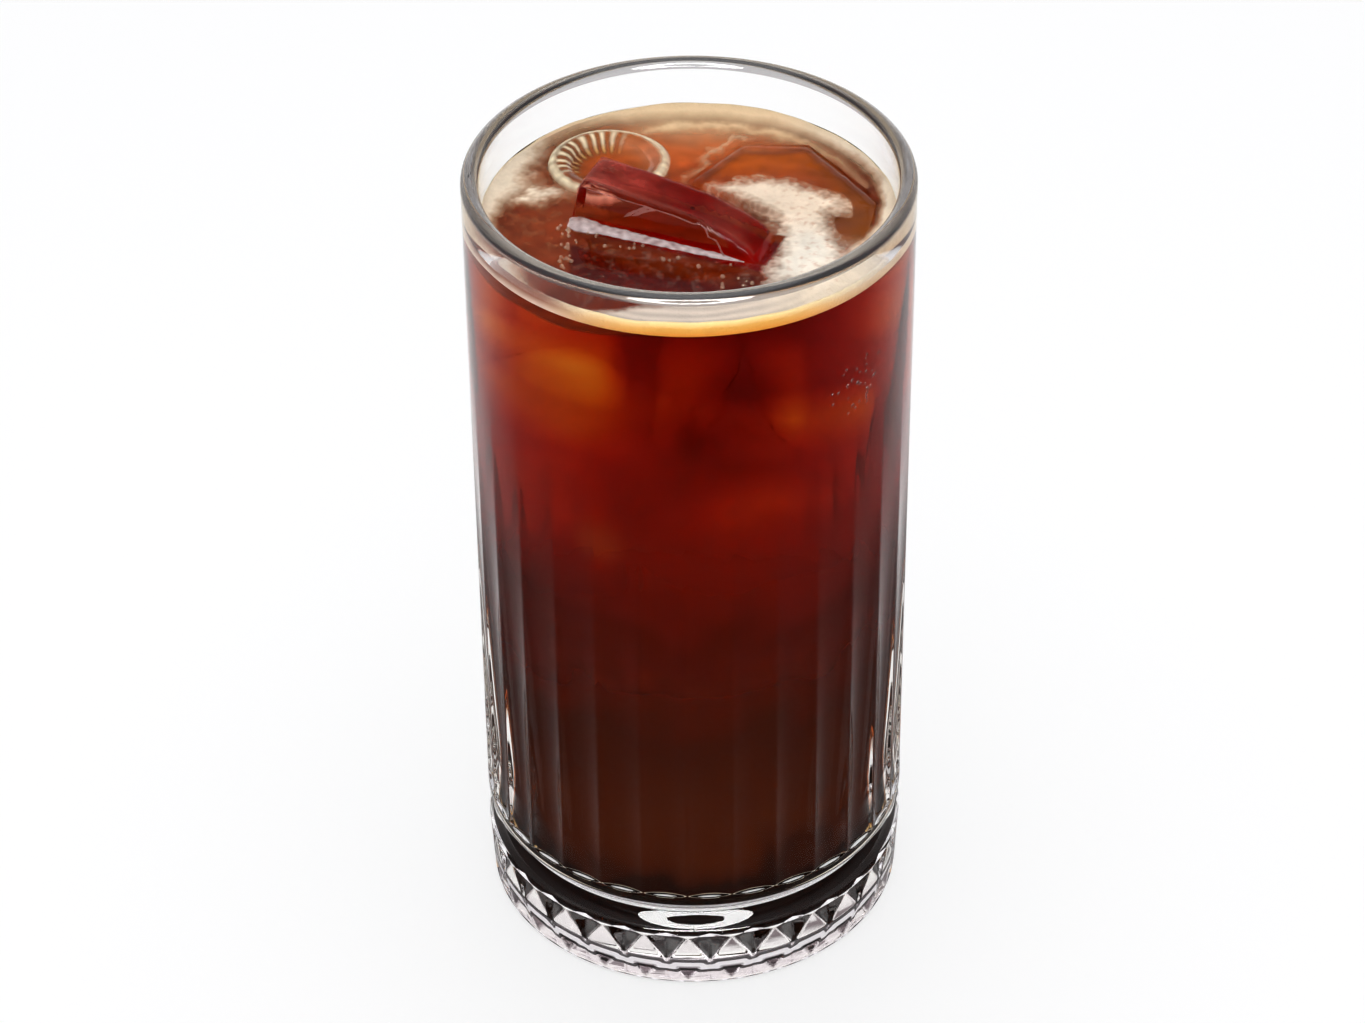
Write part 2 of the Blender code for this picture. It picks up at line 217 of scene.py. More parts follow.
columns, pitch = FLUTES * FLUTE_COLUMNS, 2 * math.pi / FLUTES
step = np.arange(columns) % FLUTE_COLUMNS
across = np.minimum(step, FLUTE_COLUMNS - step) * pitch / FLUTE_COLUMNS
height, sideways = np.meshgrid(profile[:, 1], across, indexing="ij")
outside = (profile[:, 0] > BODY - 0.05)[:, None]
# a flute is a parabola across, deep at its foot and fading upwards; the ridges lie at the pitch's ends
from_valley = (pitch / 2 - sideways) * BODY
scoop = np.clip((height - FLUTE_FOOT) / 0.5, 0, 1)
hollow = np.maximum(0.0, scoop * (2 - scoop) - (from_valley / FLUTE_HALF_WIDTH) ** 2)
fade = np.clip((FLUTE_TOP - height) / FLUTE_FADE, 0, 1) ** 1.5
shallower = 0.55 + 0.45 * ramp(height, FLUTE_FOOT, 34.0)
flutes = FLUTE_DEPTH * hollow * fade * shallower * outside * (height > 20.0)
# a lozenge is a flat facet between two slanting notches, which meet in the valley above and below it
middle = (BAND_TOP + BAND_FOOT) / 2
lean = np.clip(np.abs(height - middle) / (BAND_TOP - middle), 0, 1)
place = sideways / (pitch / 2) + lean
in_band = outside & (height < 11.9) & (height > 0.85)
above = np.clip((height - middle) / (BAND_TOP - middle), 0, 1)
below = np.clip((middle - height) / (middle - BAND_FOOT), 0, 1)
facet = FACET_DEPTH * (1 - above) + 0.25 * below
notch = np.where(height > middle, NOTCH_SLOPE_ABOVE, NOTCH_SLOPE_BELOW) * np.maximum(0, place - 1)
radius = profile[:, :1] - flutes - (facet + notch) * in_band
angle = 2 * math.pi * np.arange(columns) / columns + FLUTE_TURN
glass_grid = np.stack([radius * np.cos(angle), radius * np.sin(angle), height], -1)
glass_points, floor_fan, quads, punt_fan = turned(glass_grid)
# the band's quads are split along the lozenge edges, from a notch's mouth on the ridge to its point in the valley
quads = quads.reshape(-1, columns, 4)
band = slice(band_start, band_start + BAND_ROWS - 1)
upper_half = profile[band_start + 1:band_start + BAND_ROWS, 1] > middle
rising = ((step < FLUTE_COLUMNS / 2) == upper_half[:, None])[..., None]
halves = [np.where(rising, quads[band][..., one], quads[band][..., other]).reshape(-1, 3)
          for one, other in (([0, 1, 3], [0, 1, 2]), ([1, 2, 3], [0, 2, 3]))]
plain_quads = np.concatenate([quads[:band.start], quads[band.stop:]]).reshape(-1, 4)
glass_mesh = mesh_of("glass_fine", glass_points, plain_quads, *halves, floor_fan, punt_fan)

uneven = bpy.data.node_groups.new("uneven_surface", "ShaderNodeTree")
for label, value in (("Scale", 100.0), ("Depth", 0.00001)):
    uneven.interface.new_socket(label, in_out="INPUT", socket_type="NodeSocketFloat").default_value = value
uneven.interface.new_socket("Normal", in_out="OUTPUT", socket_type="NodeSocketVector")
enter, leave = uneven.nodes.new("NodeGroupInput"), uneven.nodes.new("NodeGroupOutput")
where_on = uneven.nodes.new("ShaderNodeTexCoord")
ripple = uneven.nodes.new("ShaderNodeTexNoise")
ripple.inputs["Detail"].default_value = 3.0
swell = uneven.nodes.new("ShaderNodeBump")
uneven.links.new(where_on.outputs["Object"], ripple.inputs["Vector"])
uneven.links.new(enter.outputs["Scale"], ripple.inputs["Scale"])
uneven.links.new(ripple.outputs["Fac"], swell.inputs["Height"])
uneven.links.new(enter.outputs["Depth"], swell.inputs["Distance"])
uneven.links.new(swell.outputs["Normal"], leave.inputs["Normal"])


def make_uneven(material, scale, depth):
    """Feed a material's Normal from the uneven-surface group, at its own scale and depth in metres."""
    group = material.node_tree.nodes.new("ShaderNodeGroup")
    group.node_tree = uneven
    group.inputs["Scale"].default_value, group.inputs["Depth"].default_value = scale, depth
    material.node_tree.links.new(group.outputs["Normal"], surface_of(material).inputs["Normal"])
    return material


# clear glass, with a finish of its own where it is wet, at the rim, the shoulder, the ring and the foot. The rim's
# grey, partly matt glass is painted shade for the dim room seen in it, the ring's pale half-matt line is a painted
# highlight, and the foot takes painted light and shade from its mesh
clear_glass = plain_material("clear_glass_fine", CLEAR, 0.0, 1.0, GLASS_BEND)
wet_glass = plain_material("clear_glass_wet", CLEAR, 0.0, 1.0, GLASS_BEND / WATER_BEND)
# painted shade: the rim's glass is tinted grey and partly matt, for the dim room seen in it
rim_glass_painted_shade = plain_material("clear_glass_rim_painted_shade", (0.42, 0.41, 0.42), 0.0, 0.86, GLASS_BEND)
shoulder_glass = plain_material("clear_glass_shoulder", CLEAR, 0.0, 1.0, GLASS_BEND)
# painted highlight: the ring under the flutes is half pale matt glass, which shows as a light line
ring_glass_painted_highlight = plain_material("clear_glass_ring_painted_highlight", (0.86, 0.82, 0.85), 0.0, 0.5, GLASS_BEND)
# painted light and shade: the foot's glass is partly matt and pale pink, and takes its colour and dark wedges from
# the mesh
painted_foot_glass = plain_material("clear_glass_foot_painted_light_and_shade", (0.9, 0.86, 0.89), 0.03, 0.92, GLASS_BEND)
for shown in (clear_glass, rim_glass_painted_shade):
    make_uneven(shown, 70.0, 0.00001)
for shown in (clear_glass, wet_glass):
    surface_of(shown).inputs["Specular Tint"].default_value = (0.0, 0.0, 0.0, 1)
read_from_mesh(painted_foot_glass, "foot_painted_light_and_shade", {"Base Color": "Color"})
glass_piece = add_piece("glass_fine", glass_mesh, "clear_glass", clear_glass, wet_glass, rim_glass_painted_shade, shoulder_glass,
                        ring_glass_painted_highlight, painted_foot_glass)

# painted light and shade on the foot: a pale pink tint, with small dark wedges of painted shade under the lozenges,
# narrow at the foot and wide above
glass_x, glass_y, glass_z = glass_points.T
share = np.mod((np.arctan2(glass_y, glass_x) - FLUTE_TURN) / pitch, 1.0)
off_middle = 1 - np.abs(share - 0.5) * 2
shade_wedge_half = 0.58 * (glass_z - BAND_FOOT) / 3.4
shade_wedge = ramp(off_middle, shade_wedge_half + 0.05, shade_wedge_half - 0.09) * (glass_z < SHADE_WEDGE_TOP) * (glass_z > 1.0)
paint(glass_mesh, "foot_painted_light_and_shade", tinted((0.95, 0.89, 0.93), (shade_wedge, (0.10, 0.07, 0.08))), np.ones(len(shade_wedge)))
face_x, face_y, face_z = values_of(glass_mesh.polygons, "center").T * 1000
face_r = np.hypot(face_x, face_y)
wet = (face_r < 35.3) & (face_z > 15) & (face_z < LEVEL + 1.0)
on_shoulder = (face_z > 12.7) & (face_z < 16.3) & (face_r > 35.45)
on_ring = (np.abs(face_z - 19.35) < 0.22) & (face_r > 36.5)
on_foot = (face_z < 6.3) & (face_z > 0.6) & (face_r > 36.5)
finish = wet + 2 * (face_z > 147.6) + 3 * on_shoulder + 4 * on_ring + 5 * on_foot
glass_mesh.polygons.foreach_set("material_index", finish.astype(np.int32))
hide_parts("glass")

# ---------------------------------------------------------------- ice
# Clear ice, melted round at its edges: a tall block that stands out of the drink, a flat slab and a hollow
# cube whose tops show, and blocks that are wholly sunk. They float against the wall and each other. Where a
# block lies in the drink, the drink's own surface does the bending of light.
BAR_AT, BAR_TURN, BAR_HALF = (-1.4, -4.9), -23, 4.5
BAR_SIDE = [(-20.6, 123.0), (13.0, 121.0), (16.6, 138.0), (15.9, 140.6), (13.6, 143.2), (9.5, 145.4), (4.6, 147.2),
            (-15.6, 149.8), (-17.4, 148.2)]
BAR_PLAN = [(-19.7, -1.8), (-16.1, 6.5), (16.0, -7.1), (12.5, -15.6)]
SLAB_PLAN = [(-0.4, 9.8), (5.0, 5.4), (26.0, -8.6), (30.0, -5.6), (32.2, 3.8), (20.6, 21.4), (9.0, 21.4)]
SLAB_HALF, SLAB_TOP = 9.5, LEVEL + 1.2
LEFT_PLAN = [(-33, 4), (-23.8, 3), (-23.2, -5), (-10.5, -10.5), (-9.5, -29), (-14, -31), (-23, -25), (-31, -12)]
CUP_AT, CUP_TOP, CUP_COLUMNS = (-13.4, 17.0), LEVEL + 0.9, 96
WEAR, SUNK_WEAR = 0.25, 0.5
LONGEST_EDGE = 1.6
ICE_BEND = 1.31


def noise_at(points):
    """Smooth noise at each of an array of points, about -1 to 1."""
    values = [noise.noise(Vector(point)) for point in points.reshape(-1, 3).tolist()]
    return np.array(values).reshape(points.shape[:-1])


def block(outline, low, high, rounding, seed, wear):
    """Points and triangles of a block: a prism on a plan outline between two heights, its edges rounded, its faces
    refined, and each point pushed along its normal by a broad and a fine noise."""
    shape = bmesh.new()
    face = shape.faces.new([shape.verts.new((x, y, low)) for x, y in outline])
    raised = bmesh.ops.extrude_face_region(shape, geom=[face])["geom"]
    top = [part for part in raised if isinstance(part, bmesh.types.BMVert)]
    bmesh.ops.translate(shape, verts=top, vec=(0.0, 0.0, high - low))
    bmesh.ops.recalc_face_normals(shape, faces=shape.faces)
    bmesh.ops.bevel(shape, geom=list(shape.edges), offset=rounding, segments=3, affect="EDGES", profile=0.5)
    bmesh.ops.triangulate(shape, faces=shape.faces)
    for _ in range(4):
        long_edges = [edge for edge in shape.edges if edge.calc_length() > LONGEST_EDGE]
        if long_edges:
            bmesh.ops.subdivide_edges(shape, edges=long_edges, cuts=1)
            bmesh.ops.triangulate(shape, faces=shape.faces)
    unworn = bpy.data.meshes.new("unworn")
    shape.to_mesh(unworn)
    shape.free()
    points, normals = values_of(unworn.vertices, "co"), values_of(unworn.vertex_normals, "vector")
    corners = np.empty(len(unworn.loops), dtype=np.int32)
    unworn.loops.foreach_get("vertex_index", corners)
    bpy.data.meshes.remove(unworn)
    offset = np.array([7.3, 3.1, 1.7]) * seed
    push = 1.6 * noise_at(points * 0.11 + offset) + 0.5 * noise_at(points * 0.35 + offset)
    return points + normals * push[:, None] * wear, corners.reshape(-1, 3)


def placed(points, matrix):
    """Points moved and turned by a matrix."""
    matrix = np.array(matrix)
    return points @ matrix[:3, :3].T + matrix[:3, 3]


def lathe(profile, columns):
    """A grid of points: each (r, z) of a profile carried round the upright axis, as (r cos a, r sin a, z)."""
    r, z = np.array(profile).T[..., None]
    a = 2 * math.pi * np.arange(columns) / columns
    return np.stack(np.broadcast_arrays(r * np.cos(a), r * np.sin(a), z), -1)


def take_bend_from_mesh(material):
    """A filling's skin bends light only where it is bare, so its faces carry the index of refraction."""
    read_from_mesh(material, "bend", {"IOR": "Fac"})


def set_bend(mesh, values):
    """Give each face of a mesh its index of refraction."""
    layer = mesh.attributes.get("bend") or mesh.attributes.new("bend", "FLOAT", "FACE")
    layer.data.foreach_set("value", np.asarray(values, dtype=np.float32))


def soak(material, colour, density):
    """Let a material take up light on its way through, as a tinted filling does."""
    absorb = material.node_tree.nodes.new("ShaderNodeVolumeAbsorption")
    absorb.inputs["Color"].default_value = (*colour, 1)
    absorb.inputs["Density"].default_value = density
    material.node_tree.links.new(absorb.outputs[0], material.node_tree.nodes["Material Output"].inputs["Volume"])


ice = plain_material("ice_dry", CLEAR, 0.02, 1.0, ICE_BEND)
surface_of(ice).inputs["Specular Tint"].default_value = (0.5, 0.5, 0.5, 1)
make_uneven(ice, 220.0, 0.00006)
ice_in_drink = plain_material("ice_wet", CLEAR, 0.0, 1.0, 1.0)
# painted shade: the standing block is a dark red tinted copy of the ice, for the dim red drink seen through it
shaded_red_ice = ice.copy()
shaded_red_ice.name = "ice_red_painted_shade"
soak(shaded_red_ice, (0.80, 0.08, 0.04), 90.0)
take_bend_from_mesh(shaded_red_ice)

bar_points, bar_faces = block(BAR_SIDE, -BAR_HALF, BAR_HALF, 1.2, 1, WEAR)
bar_points = placed(bar_points, Matrix.Translation((*BAR_AT, 0.0)) @ Matrix.Rotation(math.radians(BAR_TURN), 4, "Z")
                    @ Matrix.Rotation(math.radians(90), 4, "X"))
slab_points, slab_faces = block(SLAB_PLAN, -SLAB_HALF, SLAB_HALF, 1.4, 2, WEAR)
slab_points = placed(slab_points, Matrix.Translation((0, 0, SLAB_TOP - SLAB_HALF))
                     @ Matrix.Rotation(math.radians(1.5), 4, "Y"))

cup_profile = [(0.0, CUP_TOP - 4.2), (2.6, CUP_TOP - 3.9), (4.5, CUP_TOP - 3.2), (5.9, CUP_TOP - 2.0),
               (6.5, CUP_TOP - 1.0), (7.3, CUP_TOP - 0.2)]
cup_profile += arc(9.0, CUP_TOP - 1.6, 1.6, 90, 0, 6) + [(10.3, CUP_TOP - 8), (10.0, CUP_TOP - 16)]
cup_profile += arc(8.4, CUP_TOP - 19.4, 1.6, 0, -90, 5) + [(4.0, CUP_TOP - 21.0), (0.0, CUP_TOP - 21.0)]
cup_points, *cup_faces = turned(lathe(cup_profile, CUP_COLUMNS))
unworn_cup = mesh_of("unworn_cup", cup_points, *cup_faces)
cup_points += values_of(unworn_cup.vertex_normals, "vector") * noise_at(cup_points * 0.15 + (9, 2, 4))[:, None] * 0.3
bpy.data.meshes.remove(unworn_cup)
cup_points += (*CUP_AT, 0.0)

sunk = [block(LEFT_PLAN, 123.0, 138.9, 1.8, 3, 0.4)]
for middle_at, (w, d, h), turns, seed in (
        ((6.0, -24.0, 124.0), (22, 12, 24), (8, 5, -12), 4),
        ((-17.0, -12.0, 108.5), (25, 24, 22), (5, -8, 30), 5),
        ((13.5, -13.0, 104.0), (24, 23, 22), (-7, 6, 15), 6),
        ((-10.0, 17.0, 107.0), (25, 21, 22), (6, 9, -15), 7),
        ((18.0, 14.0, 108.0), (20, 22, 22), (-5, -6, 20), 8),
        ((5.0, -2.0, 84.5), (25, 22, 15), (4, 8, 40), 9),
        ((-18.0, -4.0, 86.0), (18, 24, 18), (8, -5, 5), 10)):
    box = [(-w / 2, -d / 2), (w / 2, -d / 2), (w / 2, d / 2), (-w / 2, d / 2)]
    points, faces = block(box, -h / 2, h / 2, 2.6, seed, SUNK_WEAR)
    turn = Euler([math.radians(t) for t in turns]).to_matrix().to_4x4()
    points = placed(points, Matrix.Translation(middle_at) @ turn)
    within = (bore_radius(points[:, 2]) - 1.2) / np.hypot(points[:, 0], points[:, 1])
    points[:, :2] *= np.minimum(1.0, within)[:, None]
    sunk.append((points, faces))
starts = np.cumsum([0] + [len(points) for points, _ in sunk])
sunk_points = np.concatenate([points for points, _ in sunk])
sunk_faces = np.concatenate([faces + start for (_, faces), start in zip(sunk, starts)])

ice_pieces = []
for name, node, points, *faces in (("ice_bar", "ice_front", bar_points, bar_faces),
                                   ("ice_slab", "ice_right", slab_points, slab_faces),
                                   ("ice_cup", "ice_hollow", cup_points, *cup_faces),
                                   ("ice_sunk", None, sunk_points, sunk_faces)):
    mesh = mesh_of(name, points, *faces)
    piece = add_piece(name, mesh, "clear_ice", *((shaded_red_ice,) if name == "ice_bar" else (ice, ice_in_drink)))
    if node:
        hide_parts(node)
    in_drink = values_of(mesh.polygons, "center")[:, 2] * 1000 < LEVEL
    if name == "ice_bar":
        set_bend(mesh, np.where(in_drink, 1.0, ICE_BEND))
    else:
        mesh.polygons.foreach_set("material_index", in_drink.astype(np.int32))
    ice_pieces.append(piece)

# ---------------------------------------------------------------- coffee
# Black coffee fills the bore from its floor to its level and creeps up the wall a little. It is a turned body
# that reaches just into the wall, so that no air shows between them, less a pocket for each block of ice.
WALL_OVERLAP, COFFEE_COLUMNS = 0.03, 240
CREEP, CREEP_WIDTH = 0.9, 0.4
bore_level = bore_radius(LEVEL)
top_r = [0.0, *np.linspace(1.5, 33.0, 22), *(bore_level - d for d in (1.4, 0.9, 0.5, 0.25, 0.05, -WALL_OVERLAP))]
coffee_profile = [(r, LEVEL + CREEP * math.exp((r - top_r[-1]) / CREEP_WIDTH)) for r in top_r]
coffee_profile += [(bore_radius(z) + WALL_OVERLAP, z) for z in (138.0, 120.0, 90.0, 60.0, 35.0, 24.0)]
coffee_profile += arc(fillet_r, FLOOR_Z + FILLET, FILLET + WALL_OVERLAP, 0, -90, 8)
coffee_profile += [(20.0, FLOOR_Z - WALL_OVERLAP), (0.0, FLOOR_Z - WALL_OVERLAP)]
uncut = bpy.data.objects.new("uncut", mesh_of("uncut", *turned(lathe(coffee_profile, COFFEE_COLUMNS))))
bpy.context.scene.collection.objects.link(uncut)
pockets = bpy.data.collections.new("pockets")
bpy.context.scene.collection.children.link(pockets)
for piece in ice_pieces:
    cutter = bpy.data.objects.new(piece.name + "_cutter", piece.data.copy())
    pockets.objects.link(cutter)
    shrink = cutter.modifiers.new("shrink", "DISPLACE")
    shrink.strength, shrink.mid_level = -0.00006, 0.0
cut = uncut.modifiers.new("pockets", "BOOLEAN")
cut.operation, cut.operand_type, cut.solver = "DIFFERENCE", "COLLECTION", "EXACT"
cut.collection = pockets
coffee_mesh = bpy.data.meshes.new_from_object(uncut.evaluated_get(bpy.context.evaluated_depsgraph_get()))
coffee_mesh.name = "coffee_fine"
coffee_mesh.materials.clear()
for spent in (uncut, *pockets.objects):
    bpy.data.objects.remove(spent, do_unlink=True)
bpy.data.collections.remove(pockets)

coffee = plain_material("black_coffee_fine", CLEAR, 0.0, 1.0, WATER_BEND)
soak(coffee, (0.90, 0.62, 0.04), 345.0)
surface_of(coffee).inputs["Specular Tint"].default_value = (0.35, 0.35, 0.35, 1)
take_bend_from_mesh(coffee)
middles, normals = values_of(coffee_mesh.polygons, "center") * 1000, values_of(coffee_mesh.polygons, "normal")
bare = (middles[:, 2] > LEVEL - 0.3) & (normals[:, 2] > 0.2)
at_wall = np.hypot(middles[:, 0], middles[:, 1]) > bore_radius(middles[:, 2]) - 0.05
at_wall |= middles[:, 2] < FLOOR_Z + 6
set_bend(coffee_mesh, np.where(bare, WATER_BEND, np.where(at_wall, 1.0, 1.002)))
coffee_mesh.shade_smooth()
coffee_piece = add_piece("coffee_fine", coffee_mesh, "black_coffee", coffee)
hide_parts("coffee")

# ---------------------------------------------------------------- painted shade deep in the drink
# Deep down, the drink looks too dark to see through. A dark core just inside the wall is painted shade for that part
# of it: near black low down and red higher up, where its colour is painted light scattered down into the drink. The
# core thins out upwards, where the drink is clear enough to show the sunk ice.
CORE_TOP, CORE_GAP, CORE_COLUMNS = 127.0, 0.9, 120
# painted light: a bright spot low in the drink stands for light let through the sunk ice
PAINTED_GLOW_AT = (-0.0154, -0.0303, 0.0965)  # a spot of light low in the drink, in metres


def math_node(tree, operation, *values):
    """A sum on two or three inputs, each a number or another node's output."""
    node = tree.nodes.new("ShaderNodeMath")
    node.operation = operation
    for socket, value in zip(node.inputs, values):
        if isinstance(value, (int, float)):
            socket.default_value = value
        else:
            tree.links.new(value, socket)
    return node.outputs[0]


def share_node(tree, value, start, end, low=0.0, high=1.0, shape="LINEAR"):
    """A value's way from start to end, as low to high, held at both ends."""
    node = tree.nodes.new("ShaderNodeMapRange")
    node.interpolation_type = shape
    for label, number in (("From Min", start), ("From Max", end), ("To Min", low), ("To Max", high)):
        node.inputs[label].default_value = number
    tree.links.new(value, node.inputs["Value"])
    return node.outputs["Result"]


def distance_node(tree, coordinates, point):
    """How far each place lies from a point, in metres."""
    node = tree.nodes.new("ShaderNodeVectorMath")
    node.operation = "DISTANCE"
    node.inputs[1].default_value = point
    tree.links.new(coordinates, node.inputs[0])
    return node.outputs["Value"]


def axes_node(tree, coordinates):
    """The three axes of a set of coordinates, by name."""
    node = tree.nodes.new("ShaderNodeSeparateXYZ")
    tree.links.new(coordinates, node.inputs[0])
    return node.outputs


def ramp_node(tree, factor, stops):
    """A colour that runs through (position, colour) stops by a factor."""
    node = tree.nodes.new("ShaderNodeValToRGB")
    tree.links.new(factor, node.inputs["Fac"])
    elements = node.color_ramp.elements
    for element, (position, colour) in zip((elements[0], elements[1]), (stops[0], stops[-1])):
        element.position, element.color = position, (*colour, 1)
    for position, colour in stops[1:-1]:
        elements.new(position).color = (*colour, 1)
    return node.outputs["Color"]


core_profile = [(r, CORE_TOP) for r in (0.0, 12.0, 24.0, 31.0)]
core_profile += [(bore_radius(z) - CORE_GAP, z) for z in np.linspace(126.0, 24.0, 52)]
core_profile += arc(fillet_r, FLOOR_Z + FILLET, FILLET - CORE_GAP, 0, -90, 6) + [(0.0, FLOOR_Z + 1.0)]
shade_core = plain_material("painted_shade_coffee", (0.06, 0.011, 0.006), 0.6)
surface_of(shade_core).inputs["Specular IOR Level"].default_value = 0.0
depths = shade_core.node_tree
where = depths.nodes.new("ShaderNodeTexCoord").outputs["Object"]
lump = depths.nodes.new("ShaderNodeTexNoise")
lump.inputs["Scale"].default_value = 60.0
depths.links.new(where, lump.inputs["Vector"])
wavy_height = math_node(depths, "MULTIPLY_ADD", lump.outputs["Fac"], 0.024, axes_node(depths, where)["Z"])
rise = share_node(depths, wavy_height, 0.016, 0.137)
cover_stops = ((0.446, 1.0), (0.512, 0.85), (0.587, 0.58), (0.669, 0.38), (0.752, 0.27), (0.835, 0.17),
               (0.917, 0.09), (0.99, 0.0))
shade_core_cover = ramp_node(depths, rise, [(position, (cover,) * 3) for position, cover in cover_stops])
depths.links.new(shade_core_cover, surface_of(shade_core).inputs["Alpha"])
# painted shade and light: the core's colour is near black low down and turns red higher up
shade_and_glow_colour = ramp_node(depths, rise, (
    (0.13, (0.020, 0.006, 0.004)), (0.17, (0.058, 0.015, 0.007)), (0.215, (0.070, 0.018, 0.007)),
    (0.405, (0.052, 0.010, 0.004)), (0.6, (0.13, 0.011, 0.003)), (0.752, (0.48, 0.020, 0.003)),
    (0.95, (0.9, 0.035, 0.004))))
# painted light: an orange spot of light round one place
painted_glow = depths.nodes.new("ShaderNodeMix")
painted_glow.data_type = "RGBA"
depths.links.new(share_node(depths, distance_node(depths, where, PAINTED_GLOW_AT), 0.0065, 0.0005, shape="SMOOTHSTEP"),
                 painted_glow.inputs[0])
depths.links.new(shade_and_glow_colour, painted_glow.inputs[6])
painted_glow.inputs[7].default_value = (0.75, 0.11, 0.02, 1)
depths.links.new(painted_glow.outputs[2], surface_of(shade_core).inputs["Base Color"])
core_mesh = mesh_of("coffee_painted_shade_core", *turned(lathe(core_profile, CORE_COLUMNS)))
add_piece("coffee_painted_shade_core", core_mesh, "black_coffee", shade_core)

# ---------------------------------------------------------------- haze and painted light under the surface
# Fine bubbles hang just under the drink's surface, and one thin painted sheet gives the drink its body seen from
# above.
# Its colours are partly painted light and shade: deep red round the standing block, near black where it is sunk and
# darker in front as painted shade, orange-brown over the slab with painted shade along the slab's edges, orange at
# the back where light let down through the ice is painted in, and paler brown in the open.
HAZE_DEPTH, HAZE_COVER, HAZE_COLUMNS = 2.4, 0.93, 300
SUNK_BAR_SHADE = [(-19.9, -6.4), (6.9, -14.9), (10.7, -16.4), (10.6, -20.4), (2.9, -23.5), (-3.6, -24.0), (-10.1, -23.0),
            (-19.7, -17.0)]
BROWN_STRIP = [(-16.9, -4.9), (6.3, -14.9), (9.9, -16.4), (7.2, -19.3), (-8.0, -14.6), (-15.7, -9.0)]


def blob(x, y, cx, cy, rx, ry, turn=0.0):
    """1 in the middle of a soft oval, falling to 0 outside it: exp(-d^3) for the distance d in its half widths."""
    c, s = math.cos(math.radians(turn)), math.sin(math.radians(turn))
    u, v = ((x - cx) * c + (y - cy) * s) / rx, (-(x - cx) * s + (y - cy) * c) / ry
    return np.exp(-(u * u + v * v) ** 1.5)


def inside(x, y, outline, soft):
    """1 inside a plan outline and 0 outside: half less the distance to the nearest side, in softnesses, where the
    distance is negative inside. A place is inside if a line from it crosses an odd number of sides."""
    nearest = np.full(x.shape, 1e9)
    within = np.zeros(x.shape, dtype=bool)
    for (ax, ay), (bx, by) in zip(outline, outline[1:] + outline[:1]):
        dx, dy = bx - ax, by - ay
        t = np.clip(((x - ax) * dx + (y - ay) * dy) / (dx * dx + dy * dy), 0, 1)
        nearest = np.minimum(nearest, np.hypot(x - ax - t * dx, y - ay - t * dy))
        crosses = (ay > y) != (by > y)
        within ^= crosses & (x < ax + dx * (y - ay) / (dy if dy else 1e-9))
    return np.clip(0.5 - np.where(within, -nearest, nearest) / soft, 0, 1)


def polar_sheet(r_values, columns):
    """A flat disc of rings: its x and y as grids of rings by columns, and its faces."""
    a = 2 * math.pi * np.arange(columns) / columns
    return np.outer(r_values, np.cos(a)), np.outer(r_values, np.sin(a)), quads_between(len(r_values), columns)


def soft_noise(x, y, scale, seed):
    """Smooth noise over a plan, at a scale and on a level of its own for each seed."""
    return noise_at(np.stack([x * scale, y * scale, np.full(np.shape(x), seed)], -1))


def foam_reach(x, y):
    """How far the foam reaches in from the wall at each place's azimuth."""
    return np.interp(np.degrees(np.arctan2(y, x)),
                     [-180, -150, -125, -110, -90, -50, -35, -20, -6, 4, 20, 35, 50, 70, 90, 110, 125, 138, 148, 165,
                      173, 180],
                     [2.0, 1.5, 1.8, 5.5, 9.5, 9.0, 7.5, 5.2, 3.5, 1.8, 1.4, 2.2, 3.0, 4.0, 4.5, 3.5, 1.5, 1.6, 5.0,
                      5.6, 2.8, 2.0])


def painted_mesh(name, x, y, z, colours, cover, faces):
    """A sheet from grids of its x, y and z, with a colour and a cover painted on each point."""
    mesh = mesh_of(name, np.stack([x, y, z], -1).reshape(-1, 3), faces)
    paint(mesh, "tint", colours.reshape(-1, 3), cover.reshape(-1))
    return mesh


def painted_material(name, colour, roughness):
    """A dull material that takes its colour and its cover from the mesh."""
    material = plain_material(name, colour, roughness)
    read_from_mesh(material, "tint", {"Base Color": "Color", "Alpha": "Alpha"})
    surface_of(material).inputs["Specular IOR Level"].default_value = 0.0
    return material


x, y, haze_faces = polar_sheet(np.linspace(0.4, bore_level - 0.4, 90), HAZE_COLUMNS)
haze_z = LEVEL - HAZE_DEPTH + 0.4 * soft_noise(x, y, 0.12, 5.0)
# painted light and shade: orange and pale at the back, near black over the sunk part of the standing block, darker
# in front
colours = tinted((0.36, 0.112, 0.066),
                 (0.7 * blob(x, y, -24, 4, 9, 6, -20), (0.50, 0.17, 0.10)),
                 (blob(x, y, 2, 20, 13, 10), (0.60, 0.21, 0.11)),
                 (blob(x, y, -14, 17, 10, 10), (0.48, 0.19, 0.08)),
                 (blob(x, y, -2, 26, 22, 8), (0.85, 0.38, 0.2)),
                 (blob(x, y, 24, -6, 8, 10), (0.60, 0.22, 0.13)),
                 (0.8 * blob(x, y, -5, -22, 26, 10), (0.26, 0.04, 0.014)),
                 (0.9 * inside(x, y, SUNK_BAR_SHADE, 1.0), (0.15, 0.006, 0.002)),
                 (0.75 * inside(x, y, BROWN_STRIP, 2.5), (0.27, 0.075, 0.026)))
